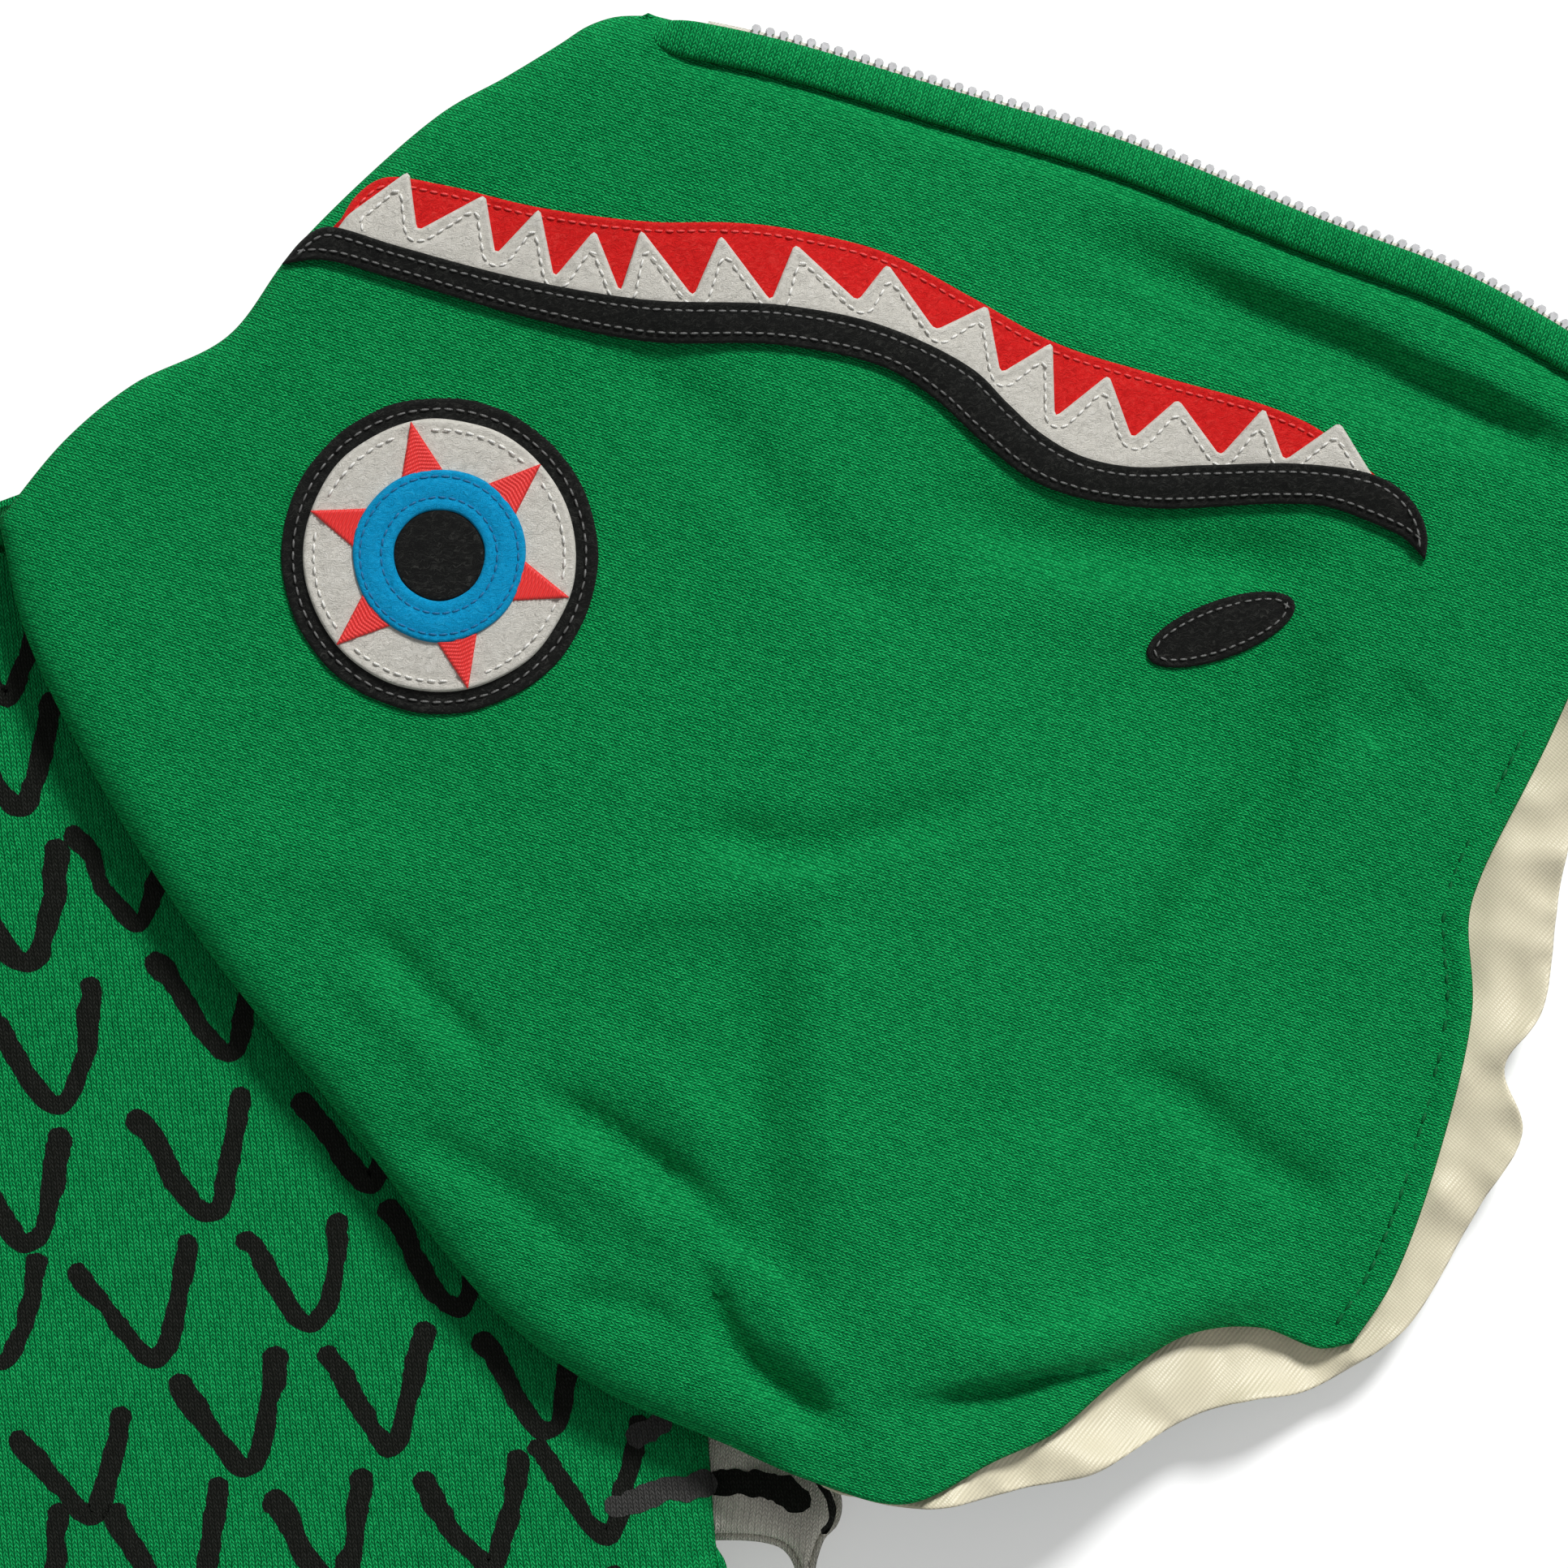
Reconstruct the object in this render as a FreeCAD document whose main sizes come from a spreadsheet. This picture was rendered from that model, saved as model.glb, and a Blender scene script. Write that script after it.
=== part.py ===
"""A child's full-zip creature hoodie, folded flat: front up, sleeves behind, hood laid over to the side.

Millimetres, +Z up from the surface it lies on, +Y towards the neck, +X towards the side the hood lies on.
The origin is under the middle of the folded garment. Every knit, felt, satin and tape piece is a
closed solid.
"""
import FreeCAD, Part
import Sketcher
import math
import os

Vector = FreeCAD.Vector

SIZES = {
    # torso, measured from the centre front line and from the high point of the shoulder
    "chest_half": 165.0,
    "hem_half": 160.0,
    "neck_half": 62.0,
    "shoulder_half": 140.0,
    "shoulder_drop": 36.0,
    "armpit_drop": 150.0,
    "side_seam_drop": 168.0,
    "front_neck_drop": 54.0,
    "back_neck_drop": 12.0,
    "panel_length": 395.0,
    "hem_length": 45.0,
    "collar_height": 40.0,
    "collar_flare": 6.0,
    "lining_inset": 3.0,
    "knit_thickness": 1.5,
    "torso_cavity": 8.0,
    # sleeves and cuffs, folded behind the back panel
    "sleeve_length": 375.0,
    "sleeve_fold_out": 17.5,
    "sleeve_height": 7.0,
    "sleeve_wall": 1.2,
    "cuff_length": 50.0,
    "cuff_width": 76.0,
    "cuff_centre": 90.0,
    "layer_gap": 0.3,
    # pockets
    "pocket_cavity": 4.8,
    "pocket_wall": 1.2,
    "pocket_top": 105.0,
    "pocket_side": 50.0,
    "pocket_inner": 20.0,
    "pocket_shoulder": 75.0,
    "pocket_outer": 132.0,
    # zip
    "tooth_pitch": 2.2,
    "tooth_width": 1.2,
    "tooth_reach": 1.6,
    "tooth_height": 2.6,
    "bead_width": 0.8,
    "chain_gap": 1.0,
    "tape_thickness": 0.8,
    "tape_width": 13.0,
    "panel_to_centre": 10.0,
    "stop_length": 2.4,
    "retainer_length": 8.0,
    "retainer_width": 7.0,
    "retainer_height": 3.4,
    "pin_width": 1.4,
    "pin_height": 1.6,
    "pin_clearance": 0.2,
    "slider_width": 9.0,
    "slider_length": 9.0,
    "slider_plate": 1.0,
    "slider_clearance": 0.35,
    "wedge_width": 0.5,
    "wedge_length": 2.5,
    "bridge_width": 2.2,
    "bridge_gap": 4.0,
    "bridge_post": 1.0,
    "bridge_rise": 2.4,
    "bridge_top": 0.9,
    "pull_axis_rise": 1.3,
    "pull_length": 33.0,
    "pull_width": 8.0,
    "pull_thickness": 1.2,
    "pull_window": 3.4,
    "pull_window_length": 5.4,
    "pull_hole_radius": 2.0,
    "pull_hole_inset": 5.0,
    # hood, laid on its side
    "hood_across": 188.0,
    "hood_below_neck": 55.0,
    "hood_turn": 7.0,
    "hood_stretch": 1.0,
    "hood_cavity": 6.0,
    "lining_thickness": 0.5,
    "felt_thickness": 1.0,
    "hood_wall": 1.5,
    "hood_bend_start": 190.0,
    "hood_bend_run": 62.0,
    "hood_floor_gap": 0.3,
    "welt_width": 5.5,
    "lining_clearance": 0.4,
    "hood_tape_thickness": 0.7,
    "hood_tooth_height": 2.2,
    # face pieces
    "eye_rim_radius": 23.2,
    "eye_white_radius": 20.0,
    "eye_iris_radius": 12.7,
    "eye_pupil_radius": 6.6,
    "star_tip_radius": 19.6,
    "star_half_width": 3.1,
    "star_thickness": 0.5,
    "pupil_thickness": 0.8,
    "nostril_long": 11.7,
    "nostril_short": 4.3,
    "nostril_tilt": 20.0,
}

# Outlines of the hood in its own frame: x along the hood towards the chin, y towards the zip.
FOLD_TOP = [(-116, 39), (-106, 51), (-96, 59), (-82, 66), (-72, 79), (-51, 99), (-38, 107), (-20, 113.5)]
ZIP_EDGE = [(-20, 113.5), (26, 102.5), (52, 95.5), (81, 84), (103, 75.5), (133, 58)]
OPENING_EDGE = [(133, 58), (130, 44), (115, 8), (104, -15), (102.5, -34), (98, -55), (87, -80)]
LOWER_ROLL = [(87, -80), (78, -84), (60, -82), (50, -88), (31, -100), (18, -106), (5, -103), (-10, -97)]
FOLD_BOTTOM = [(-10, -97), (-27, -89.5), (-42, -78.5), (-64, -51), (-86, -23.5), (-100, -2), (-112, 22),
               (-116, 39)]
UNDER_EDGE = [(133, 58), (131, 38), (117, -8), (113, -34), (109, -54), (99, -73), (88, -85)]
UNDER_ROLL = [(88, -85), (70, -92), (54, -98), (37, -104.5), (18, -107), (-10, -97)]
MOUTH_TOP = [(-65, 83), (-59, 89), (-36, 84.6), (-8, 82.4), (15, 78.3), (40, 65.5), (56, 60.7), (80, 52.6),
             (88, 46)]
TOOTH_TIPS = [(-55, 89.5), (-44, 86.5), (-35.8, 84), (-27.7, 81.3), (-20, 81), (-9.3, 80.6), (1.6, 79.4),
              (15.2, 76.7), (30.1, 70), (39.8, 64.5), (48.2, 60.5), (58.6, 57.3), (71.5, 55), (81, 51.5)]
TOOTH_ROOTS = [(-63.5, 83), (-53.8, 81), (-42.3, 77.6), (-33.7, 74.2), (-24, 72.5), (-13.3, 72),
               (-1.9, 71.5), (10.8, 71), (22.3, 67), (32, 61), (40.1, 54.6), (51.7, 51.6), (64.9, 49.6),
               (75, 48.8), (86.5, 46.5)]
LIP_TOP = [(-74, 76.4), (-67.5, 81.8), (-38, 74), (0, 70), (15, 67.4), (28, 61), (38, 52), (51, 47),
           (77, 47.6), (91, 44), (95.5, 34)]
LIP_BOTTOM = [(95.5, 34), (88, 38.7), (73, 41.7), (52, 41.2), (37, 45), (22, 57), (9, 63), (-20, 65),
              (-50, 72), (-74, 76.4)]
EYE_CENTRE = (-50.5, 33.5)
NOSTRIL_CENTRE = (65, 23)
STAR_ANGLES = (42, 102, 161, 221, 282, 342)
CHIN_CORNER = ZIP_EDGE[-1]
SEAM_POINTS = 20

doc = FreeCAD.newDocument("creature_hoodie")
sheet = doc.addObject("Spreadsheet::Sheet", "sizes")
for row, (alias, value) in enumerate(SIZES.items(), start=1):
    sheet.set(f"A{row}", alias)
    sheet.set(f"B{row}", str(value))
    sheet.setAlias(f"B{row}", alias)
doc.recompute()


def size(alias):
    """A driving dimension, read back from the sheet."""
    return float(sheet.get(alias))


parts = {}


def keep(node, label):
    """Names a finished sub-part and puts it on the list to be written."""
    node.Label = label
    parts[label] = node
    return node


# Places that follow from the driving dimensions.
HOOD_TURN = math.radians(size("hood_turn"))


def hood_point(x, y):
    """A point of the hood's own frame, from the centre front line and the shoulder's high point."""
    x, y = x * size("hood_stretch"), y * size("hood_stretch")
    turned_x = x * math.cos(HOOD_TURN) + y * math.sin(HOOD_TURN)
    turned_y = -x * math.sin(HOOD_TURN) + y * math.cos(HOOD_TURN)
    return turned_x + size("hood_across"), turned_y - size("hood_below_neck")


SLEEVE_REACH = size("chest_half") + size("sleeve_fold_out")
TOOTH_OUT = size("layer_gap") + size("bead_width") + size("tooth_reach")
HOOD_REACH = hood_point(*CHIN_CORNER)[0] + TOOTH_OUT / 3
HOOD_TOP = hood_point(*ZIP_EDGE[0])[1] + TOOTH_OUT
SLEEVE_END = -size("shoulder_drop") - size("sleeve_length")
CUFF_END = SLEEVE_END - size("cuff_length")
HEM_END = -size("panel_length") - size("hem_length")
CENTRE_X = (SLEEVE_REACH - HOOD_REACH) / 2
NECK_Y = -(HOOD_TOP + CUFF_END) / 2

BACK_Z = size("sleeve_height") + size("layer_gap")
CAVITY_Z = BACK_Z + size("knit_thickness")
FRONT_Z = CAVITY_Z + size("torso_cavity")
FRONT_TOP = FRONT_Z + size("knit_thickness")
TAPE_Z = FRONT_Z - size("tape_thickness")
CHAIN_Z = TAPE_Z + size("tape_thickness") / 2
HOOD_BASE = FRONT_TOP + size("layer_gap")
HOOD_DROP = HOOD_BASE - size("hood_floor_gap")


def at(x, y, z=0.0):
    """A point given from the centre front line and the shoulder's high point, in the row's frame."""
    return Vector(x + CENTRE_X, y + NECK_Y, z)


def mirrored(points, side):
    """The same outline on the other side of the centre front line."""
    return [(side * x, y) for x, y in points]


def smooth(points, z=0.0):
    """One smooth edge through the points."""
    curve = Part.BSplineCurve()
    curve.interpolate([at(x, y, z) for x, y in points])
    return curve.toShape()


def straight(points, z=0.0):
    """Straight edges from point to point."""
    ends = [at(x, y, z) for x, y in points]
    return [Part.makeLine(a, b) for a, b in zip(ends, ends[1:]) if a.distanceToPoint(b) > 1e-6]


def feature(shape, name):
    """A construction shape that a later feature is made from."""
    node = doc.addObject("Part::Feature", name)
    node.Shape = shape
    return node


def extruded(face, name, height, z, direction=Vector(0, 0, 1)):
    """The face pushed along a direction by an expression of the sheet's cells."""
    node = doc.addObject("Part::Extrusion", name)
    node.Base = feature(face, name + "_outline")
    node.DirMode = "Custom"
    node.Dir = direction
    node.Solid = True
    node.setExpression("LengthFwd", height)
    node.Placement.Base = Vector(0, 0, z)
    return node


def face_of(edges):
    """A flat face bounded by the edges, in any order."""
    return Part.Face(Part.Wire(Part.__sortEdges__(edges)))


def polygon(points):
    """A flat face with straight sides."""
    return face_of(straight(list(points) + [points[0]]))


def joined(kind, name, base, tool):
    """A boolean of two features: Cut, Fuse or Common."""
    node = doc.addObject("Part::" + kind, name)
    node.Base = base
    node.Tool = tool
    return node


def box(name, corner, length, width, height):
    """A Part::Box at a corner, each side an expression of the sheet's cells."""
    node = doc.addObject("Part::Box", name)
    node.setExpression("Length", length)
    node.setExpression("Width", width)
    node.setExpression("Height", height)
    node.Placement.Base = corner
    return node


# ---------------------------------------------------------------- torso


def torso_outline(side, neck):
    """Half a torso panel, from the centre line to the side seam, down to the hem."""
    inner = neck[-1][0]
    shoulder = (size("shoulder_half"), -size("shoulder_drop"))
    armpit = (size("chest_half"), -size("armpit_drop"))
    armhole = [
        shoulder,
        (size("shoulder_half") - 1, shoulder[1] * 0.62 + armpit[1] * 0.38),
        (size("shoulder_half") + 9, shoulder[1] * 0.26 + armpit[1] * 0.74),
        armpit,
    ]
    seam = [
        armpit,
        (size("chest_half") - 1, -size("side_seam_drop")),
        (size("hem_half"), -size("panel_length")),
        (inner, -size("panel_length")),
        (inner, neck[-1][1]),
    ]
    edges = [smooth(mirrored(neck, side)), smooth(mirrored(armhole, side))]
    edges += straight(mirrored([neck[0], shoulder], side))
    return edges + straight(mirrored(seam, side))


def front_neck():
    """The front neckline from the shoulder to the zip."""
    half, drop = size("neck_half"), size("front_neck_drop")
    low_end = (size("panel_to_centre"), -drop)
    return [(half, 0), (half * 0.9, -drop * 0.4), (half * 0.6, -drop * 0.78), low_end]


def side_wall(side, name, top, bottom):
    """The folded side of the torso, from the armpit's seam down, between back and front."""
    wall = size("knit_thickness")
    share = (bottom + size("side_seam_drop")) / (size("side_seam_drop") - size("panel_length"))
    low = (size("chest_half") - 1) * (1 - share) + size("hem_half") * share
    high = size("chest_half") - 1
    points = [(high, top), (low, bottom), (low - wall, bottom), (high - wall, top)]
    return extruded(polygon(mirrored(points, side)), name, "sizes.torso_cavity", CAVITY_Z)


def front_panel(side, label):
    """One front panel with the side wall that joins it to the back."""
    outline = face_of(torso_outline(side, front_neck()))
    sheet_part = extruded(outline, label + "_cloth", "sizes.knit_thickness", FRONT_Z)
    wall = side_wall(side, label + "_side", -size("side_seam_drop"), -size("panel_length"))
    return keep(joined("Fuse", label + "_body", sheet_part, wall), label)


def back_panel():
    """The back panel, both halves in one piece."""
    right = extruded(face_of(torso_outline(1, back_neck())), "back_right", "sizes.knit_thickness", BACK_Z)
    left = extruded(face_of(torso_outline(-1, back_neck())), "back_left", "sizes.knit_thickness", BACK_Z)
    return keep(joined("Fuse", "back_body", left, right), "back_panel")


def hem_front(side, label):
    """The ribbed hem under one front panel, folded round the side."""
    wall, gap, half = size("knit_thickness"), size("panel_to_centre"), size("hem_half")
    top = -size("panel_length")
    cloth_points = [(gap, HEM_END), (half, HEM_END), (half, top), (gap, top)]
    wall_points = [(half - wall, HEM_END), (half, HEM_END), (half, top), (half - wall, top)]
    cloth = extruded(polygon(mirrored(cloth_points, side)), label + "_cloth", "sizes.knit_thickness", FRONT_Z)
    edge = extruded(polygon(mirrored(wall_points, side)), label + "_side", "sizes.torso_cavity", CAVITY_Z)
    return keep(joined("Fuse", label + "_body", cloth, edge), label)


def hem_back():
    """The ribbed hem under the back panel."""
    corner = at(-size("hem_half"), HEM_END, BACK_Z)
    node = box("hem_back_box", corner, "2 * sizes.hem_half", "sizes.hem_length", "sizes.knit_thickness")
    return keep(node, "hem_back")


def collar_front(side, label):
    """The neck of the hood beside the zip, standing up from the front neckline, with its folded side."""
    half, drop, rise = size("neck_half"), size("front_neck_drop"), size("collar_height")
    wall, gap, flare = size("knit_thickness"), size("panel_to_centre"), size("collar_flare")
    side_top = (half + flare, rise * 0.85)
    top = [side_top, (half * 0.85, rise * 0.4), (half * 0.5, rise - drop + 8), (gap, rise - drop)]
    edges = [smooth(mirrored(front_neck(), side)), smooth(mirrored(top, side))]
    edges += straight(mirrored([front_neck()[-1], top[-1]], side))
    edges += straight(mirrored([front_neck()[0], top[0]], side))
    cloth = extruded(face_of(edges), label + "_cloth", "sizes.knit_thickness", FRONT_Z)
    fold = [(half, 0), side_top, (half + flare - wall, rise * 0.85), (half - wall, 0)]
    edge = extruded(polygon(mirrored(fold, side)), label + "_side", "sizes.torso_cavity", CAVITY_Z)
    return keep(joined("Fuse", label + "_body", cloth, edge), label)


def back_neck():
    """The back neckline from the shoulder to the middle."""
    half, drop = size("neck_half"), size("back_neck_drop")
    return [(half, 0), (half * 0.6, -drop * 0.75), (0, -drop)]


def collar_back():
    """The hood's neck behind the neckline, and its satin lining."""
    half, rise, hem = size("neck_half"), size("collar_height"), size("lining_inset")
    low = back_neck()
    wide = half + size("collar_flare")
    high = [(wide, rise * 0.85), (half * 0.5, rise), (-half * 0.5, rise), (-wide, rise * 0.85)]
    ends = straight([low[0], high[0]]) + straight([mirrored(low, -1)[0], high[-1]])
    edges = [smooth(low), smooth(mirrored(low, -1)), smooth(high)] + ends
    keep(extruded(face_of(edges), "collar_back_cloth", "sizes.knit_thickness", BACK_Z), "collar_back")
    narrower = 1 - hem / half
    low = [(x * narrower, y + hem) for x, y in low]
    high = [(x * narrower, y - hem) for x, y in high]
    ends = straight([low[0], high[0]]) + straight([mirrored(low, -1)[0], high[-1]])
    edges = [smooth(low), smooth(mirrored(low, -1)), smooth(high)] + ends
    keep(extruded(face_of(edges), "collar_lining_cloth", "sizes.lining_thickness", CAVITY_Z), "collar_lining")


def sleeve_points():
    """The sleeve folded behind the back, anticlockwise, with the fold's tongue beside the armpit."""
    chest, drop = size("chest_half"), size("shoulder_drop")
    pit, centre, half = size("armpit_drop"), size("cuff_centre"), size("cuff_width") / 2
    return [
        (centre - half - 4, SLEEVE_END),
        (centre + half + 4, SLEEVE_END),
        (chest - 9, -pit - 50),
        (chest - 3, -pit - 16),
        (chest + 10, -pit - 21),
        (chest + 16, -pit - 18),
        (SLEEVE_REACH, -pit - 11),
        (SLEEVE_REACH - 5, -pit + 10),
        (chest - 2, -pit + 60),
        (size("shoulder_half") + 4, -drop),
        (size("shoulder_half") - 30, -drop - 6),
        (centre - half - 18, -drop - 60),
        (centre - half - 20, -pit - 50),
    ]


def sleeve(side, label):
    """A flat sleeve behind the back, hollow and open at the cuff, with the cap that rises to the armhole."""
    wall, pit = size("sleeve_wall"), size("armpit_drop")
    outer = extruded(polygon(mirrored(sleeve_points(), side)), label + "_outer", "sizes.sleeve_height", 0)
    centre, half = size("cuff_centre"), size("cuff_width") / 2 - wall
    hollow = [
        (centre - half, SLEEVE_END - 1),
        (centre + half, SLEEVE_END - 1),
        (size("chest_half") - 9 - 3 * wall, -pit - 48),
        (size("chest_half") - 14 - wall, -pit + 30),
        (centre - half, -pit + 30),
        (centre - half - 12, -pit - 48),
    ]
    room = "sizes.sleeve_height - 2 * sizes.sleeve_wall"
    inner = extruded(polygon(mirrored(hollow, side)), label + "_hollow", room, wall)
    tube = joined("Cut", label + "_tube", outer, inner)
    start = size("chest_half") + size("layer_gap")
    cap = [(start, -pit - 14), (start + wall, -pit - 14), (start + wall, -pit + 4), (start, -pit + 4)]
    rise = "sizes.layer_gap + 2 * sizes.knit_thickness + sizes.torso_cavity"
    cap_part = extruded(polygon(mirrored(cap, side)), label + "_cap", rise, size("sleeve_height"))
    return keep(joined("Fuse", label + "_body", tube, cap_part), label)


def cuff(side, label):
    """The ribbed cuff, a flat open tube at the sleeve's end."""
    half, wall = size("cuff_width") / 2, size("sleeve_wall")
    corner = at(side * size("cuff_centre") - half, CUFF_END, 0)
    outer = box(label + "_outer", corner, "sizes.cuff_width", "sizes.cuff_length", "sizes.sleeve_height")
    inside = box(
        label + "_inside",
        corner + Vector(wall, -1, wall),
        "sizes.cuff_width - 2 * sizes.sleeve_wall",
        "sizes.cuff_length + 2",
        "sizes.sleeve_height - 2 * sizes.sleeve_wall",
    )
    return keep(joined("Cut", label + "_body", outer, inside), label)


def pocket(side, label):
    """A patch pocket on a front panel, open along its slanted hand edge."""
    bottom, wall = -size("panel_length"), size("knit_thickness")
    inner, outer, knee = size("pocket_inner"), size("pocket_outer"), size("pocket_shoulder")
    top, low = bottom + size("pocket_top"), bottom + size("pocket_side")
    outline = [(inner, bottom), (outer, bottom), (outer, low), (knee, top), (inner, top)]
    hollow = [
        (inner + wall, bottom + wall),
        (outer - wall, bottom + wall),
        (outer - wall, low + 30),
        (outer - wall, top - wall),
        (inner + wall, top - wall),
    ]
    height = "sizes.pocket_cavity + sizes.pocket_wall"
    block = extruded(polygon(mirrored(outline, side)), label + "_outer", height, FRONT_TOP)
    room = extruded(polygon(mirrored(hollow, side)), label + "_hollow", "sizes.pocket_cavity", FRONT_TOP)
    return keep(joined("Cut", label + "_body", block, room), label)


def hood_neck():
    """The hood's neck, folded under its left corner, with the root that the hood is sewn to."""
    shoulder = (size("shoulder_half") + 2, -size("shoulder_drop") + 4)
    fold = [hood_point(*p) for p in [(-37, 92), (-48, 94), (-70, 70), (-104, 46)]]
    block_height = FRONT_TOP - size("layer_gap")
    outline = polygon([(size("neck_half") + 10, -1), shoulder] + fold)
    block = extruded(outline, "neck_block", f"{block_height}", size("layer_gap"))
    under_corner = [(-112, 39), (-102, 20), (-84, 26), (-80, 50), (-88, 60), (-100, 51)]
    root_outline = polygon([hood_point(*p) for p in under_corner])
    root = extruded(root_outline, "neck_root", "3 * sizes.felt_thickness", FRONT_TOP)
    return keep(joined("Fuse", "hood_neck_body", block, root), "hood_neck")


# ---------------------------------------------------------------- front zip

ZIP_TOP = size("collar_height") - size("front_neck_drop") - 2
ZIP_BOTTOM = HEM_END + 2
CHAIN_TOP = ZIP_TOP - size("stop_length") - size("layer_gap")
CHAIN_BOTTOM = ZIP_BOTTOM + size("retainer_length") + size("layer_gap")
TOOTH_START = size("chain_gap") / 2
BEAD_START = TOOTH_START + size("tooth_reach")
TAPE_START = BEAD_START + size("bead_width")


def comb(side, label):
    """One row of zip teeth on its bead, all one strip."""
    pitch, width = size("tooth_pitch"), size("tooth_width")
    offset = 0 if side > 0 else pitch / 2
    count = int((CHAIN_TOP - CHAIN_BOTTOM - offset - width) / pitch)
    points = [(TAPE_START, CHAIN_BOTTOM), (TAPE_START, CHAIN_TOP), (BEAD_START, CHAIN_TOP)]
    for k in reversed(range(count)):
        low = CHAIN_BOTTOM + offset + 0.3 + k * pitch
        points += [(BEAD_START, low + width), (TOOTH_START, low + width)]
        points += [(TOOTH_START, low), (BEAD_START, low)]
    points.append((BEAD_START, CHAIN_BOTTOM))
    z = CHAIN_Z - size("tooth_height") / 2
    return keep(extruded(polygon(mirrored(points, side)), label + "_strip", "sizes.tooth_height", z), label)


def tape(side, label):
    """One half of the front zip's tape, sewn under the panel's edge."""
    x = TAPE_START if side > 0 else -TAPE_START - size("tape_width")
    node = box(label + "_box", at(x, ZIP_BOTTOM, TAPE_Z), "sizes.tape_width", "1", "sizes.tape_thickness")
    node.setExpression("Width", f"{ZIP_TOP - ZIP_BOTTOM}")
    return keep(node, label)


def top_stops():
    """The two top stops, one above each row of teeth."""
    z = CHAIN_Z - size("tooth_height") / 2
    pair = []
    for side, name in ((-1, "stop_left"), (1, "stop_right")):
        x = TOOTH_START if side > 0 else -TAPE_START
        corner = at(x, ZIP_TOP - size("stop_length"), z)
        wide = "sizes.tooth_reach + sizes.bead_width"
        pair.append(box(name, corner, wide, "sizes.stop_length", "sizes.tooth_height"))
    group = doc.addObject("Part::Compound", "stops")
    group.Links = pair
    return keep(group, "zip_top_stops")


def rectangle(body, name, x, y, width, length, z):
    """A sketched rectangle on the body's XY plane: a corner, then two sides bound to the sheet."""
    sketch = body.newObject("Sketcher::SketchObject", name)
    plane = [f for f in body.Origin.OriginFeatures if f.Role == "XY_Plane"][0]
    sketch.AttachmentSupport = [(plane, "")]
    sketch.MapMode = "FlatFace"
    sketch.AttachmentOffset = FreeCAD.Placement(Vector(x, y, z), FreeCAD.Rotation())
    corners = [Vector(0, 0, 0), Vector(4, 0, 0), Vector(4, 3, 0), Vector(0, 3, 0)]
    for k in range(4):
        sketch.addGeometry(Part.LineSegment(corners[k], corners[(k + 1) % 4]), False)
    for k in range(4):
        sketch.addConstraint(Sketcher.Constraint("Coincident", k, 2, (k + 1) % 4, 1))
    for k, kind in enumerate(("Horizontal", "Vertical", "Horizontal", "Vertical")):
        sketch.addConstraint(Sketcher.Constraint(kind, k))
    sketch.addConstraint(Sketcher.Constraint("Coincident", 0, 1, -1, 1))
    across = sketch.addConstraint(Sketcher.Constraint("DistanceX", 0, 1, 0, 2, 4.0))
    along = sketch.addConstraint(Sketcher.Constraint("DistanceY", 1, 1, 1, 2, 3.0))
    sketch.setExpression(f"Constraints[{across}]", width)
    sketch.setExpression(f"Constraints[{along}]", length)
    return sketch


def pad(body, name, profile, height):
    """Adds the profile to the body, upwards."""
    node = body.newObject("PartDesign::Pad", name)
    node.Profile = profile
    node.setExpression("Length", height)
    return node


def pocket_through(body, name, profile, depth):
    """Cuts the profile out of the body, upwards from the sketch's plane."""
    node = body.newObject("PartDesign::Pocket", name)
    node.Profile = profile
    node.Reversed = True
    node.setExpression("Length", depth)
    return node


SLIDER_Y = CHAIN_TOP - size("slider_length")
SLIDER_Z = CHAIN_Z - size("tooth_height") / 2 - size("slider_clearance") - size("slider_plate")
SLIDER_ROOM = size("tooth_height") + 2 * size("slider_clearance")
SLIDER_TOP = SLIDER_Z + 2 * size("slider_plate") + SLIDER_ROOM
BRIDGE_Y = (size("slider_length") - size("bridge_gap")) / 2 - size("bridge_post")
AXIS_Y = SLIDER_Y + size("slider_length") / 2
AXIS_Z = SLIDER_TOP + size("pull_axis_rise")


def zip_slider():
    """The slider: two plates round the chain, the wedge between them and the bridge that holds the pull."""
    body = doc.addObject("PartDesign::Body", "zip_slider_body")
    plate = size("slider_plate")
    room = "sizes.tooth_height + 2 * sizes.slider_clearance"
    wide, long = "sizes.slider_width", "sizes.slider_length"
    wedge_x = (size("slider_width") - size("wedge_width")) / 2
    wedge_y = size("slider_length") - size("wedge_length")
    bridge_x = (size("slider_width") - size("bridge_width")) / 2
    top = 2 * plate + SLIDER_ROOM
    post = "sizes.bridge_post"
    pad(body, "slider_base", rectangle(body, "base_plate", 0, 0, wide, long, 0), "sizes.slider_plate")
    wedge = rectangle(body, "wedge", wedge_x, wedge_y, "sizes.wedge_width", "sizes.wedge_length", plate)
    pad(body, "slider_wedge", wedge, room)
    cover = rectangle(body, "top_plate", 0, 0, wide, long, plate + SLIDER_ROOM)
    pad(body, "slider_cover", cover, "sizes.slider_plate")
    near = rectangle(body, "near_post", bridge_x, BRIDGE_Y, "sizes.bridge_width", post, top)
    pad(body, "bridge_near", near, "sizes.bridge_rise")
    far_y = BRIDGE_Y + size("bridge_post") + size("bridge_gap")
    far = rectangle(body, "far_post", bridge_x, far_y, "sizes.bridge_width", post, top)
    pad(body, "bridge_far", far, "sizes.bridge_rise")
    span = "sizes.bridge_gap + 2 * sizes.bridge_post"
    roof_z = top + size("bridge_rise")
    roof = rectangle(body, "bridge_roof", bridge_x, BRIDGE_Y, "sizes.bridge_width", span, roof_z)
    pad(body, "bridge_over", roof, "sizes.bridge_top")
    body.Placement.Base = at(-size("slider_width") / 2, SLIDER_Y, SLIDER_Z)
    return keep(body, "zip_slider")


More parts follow.
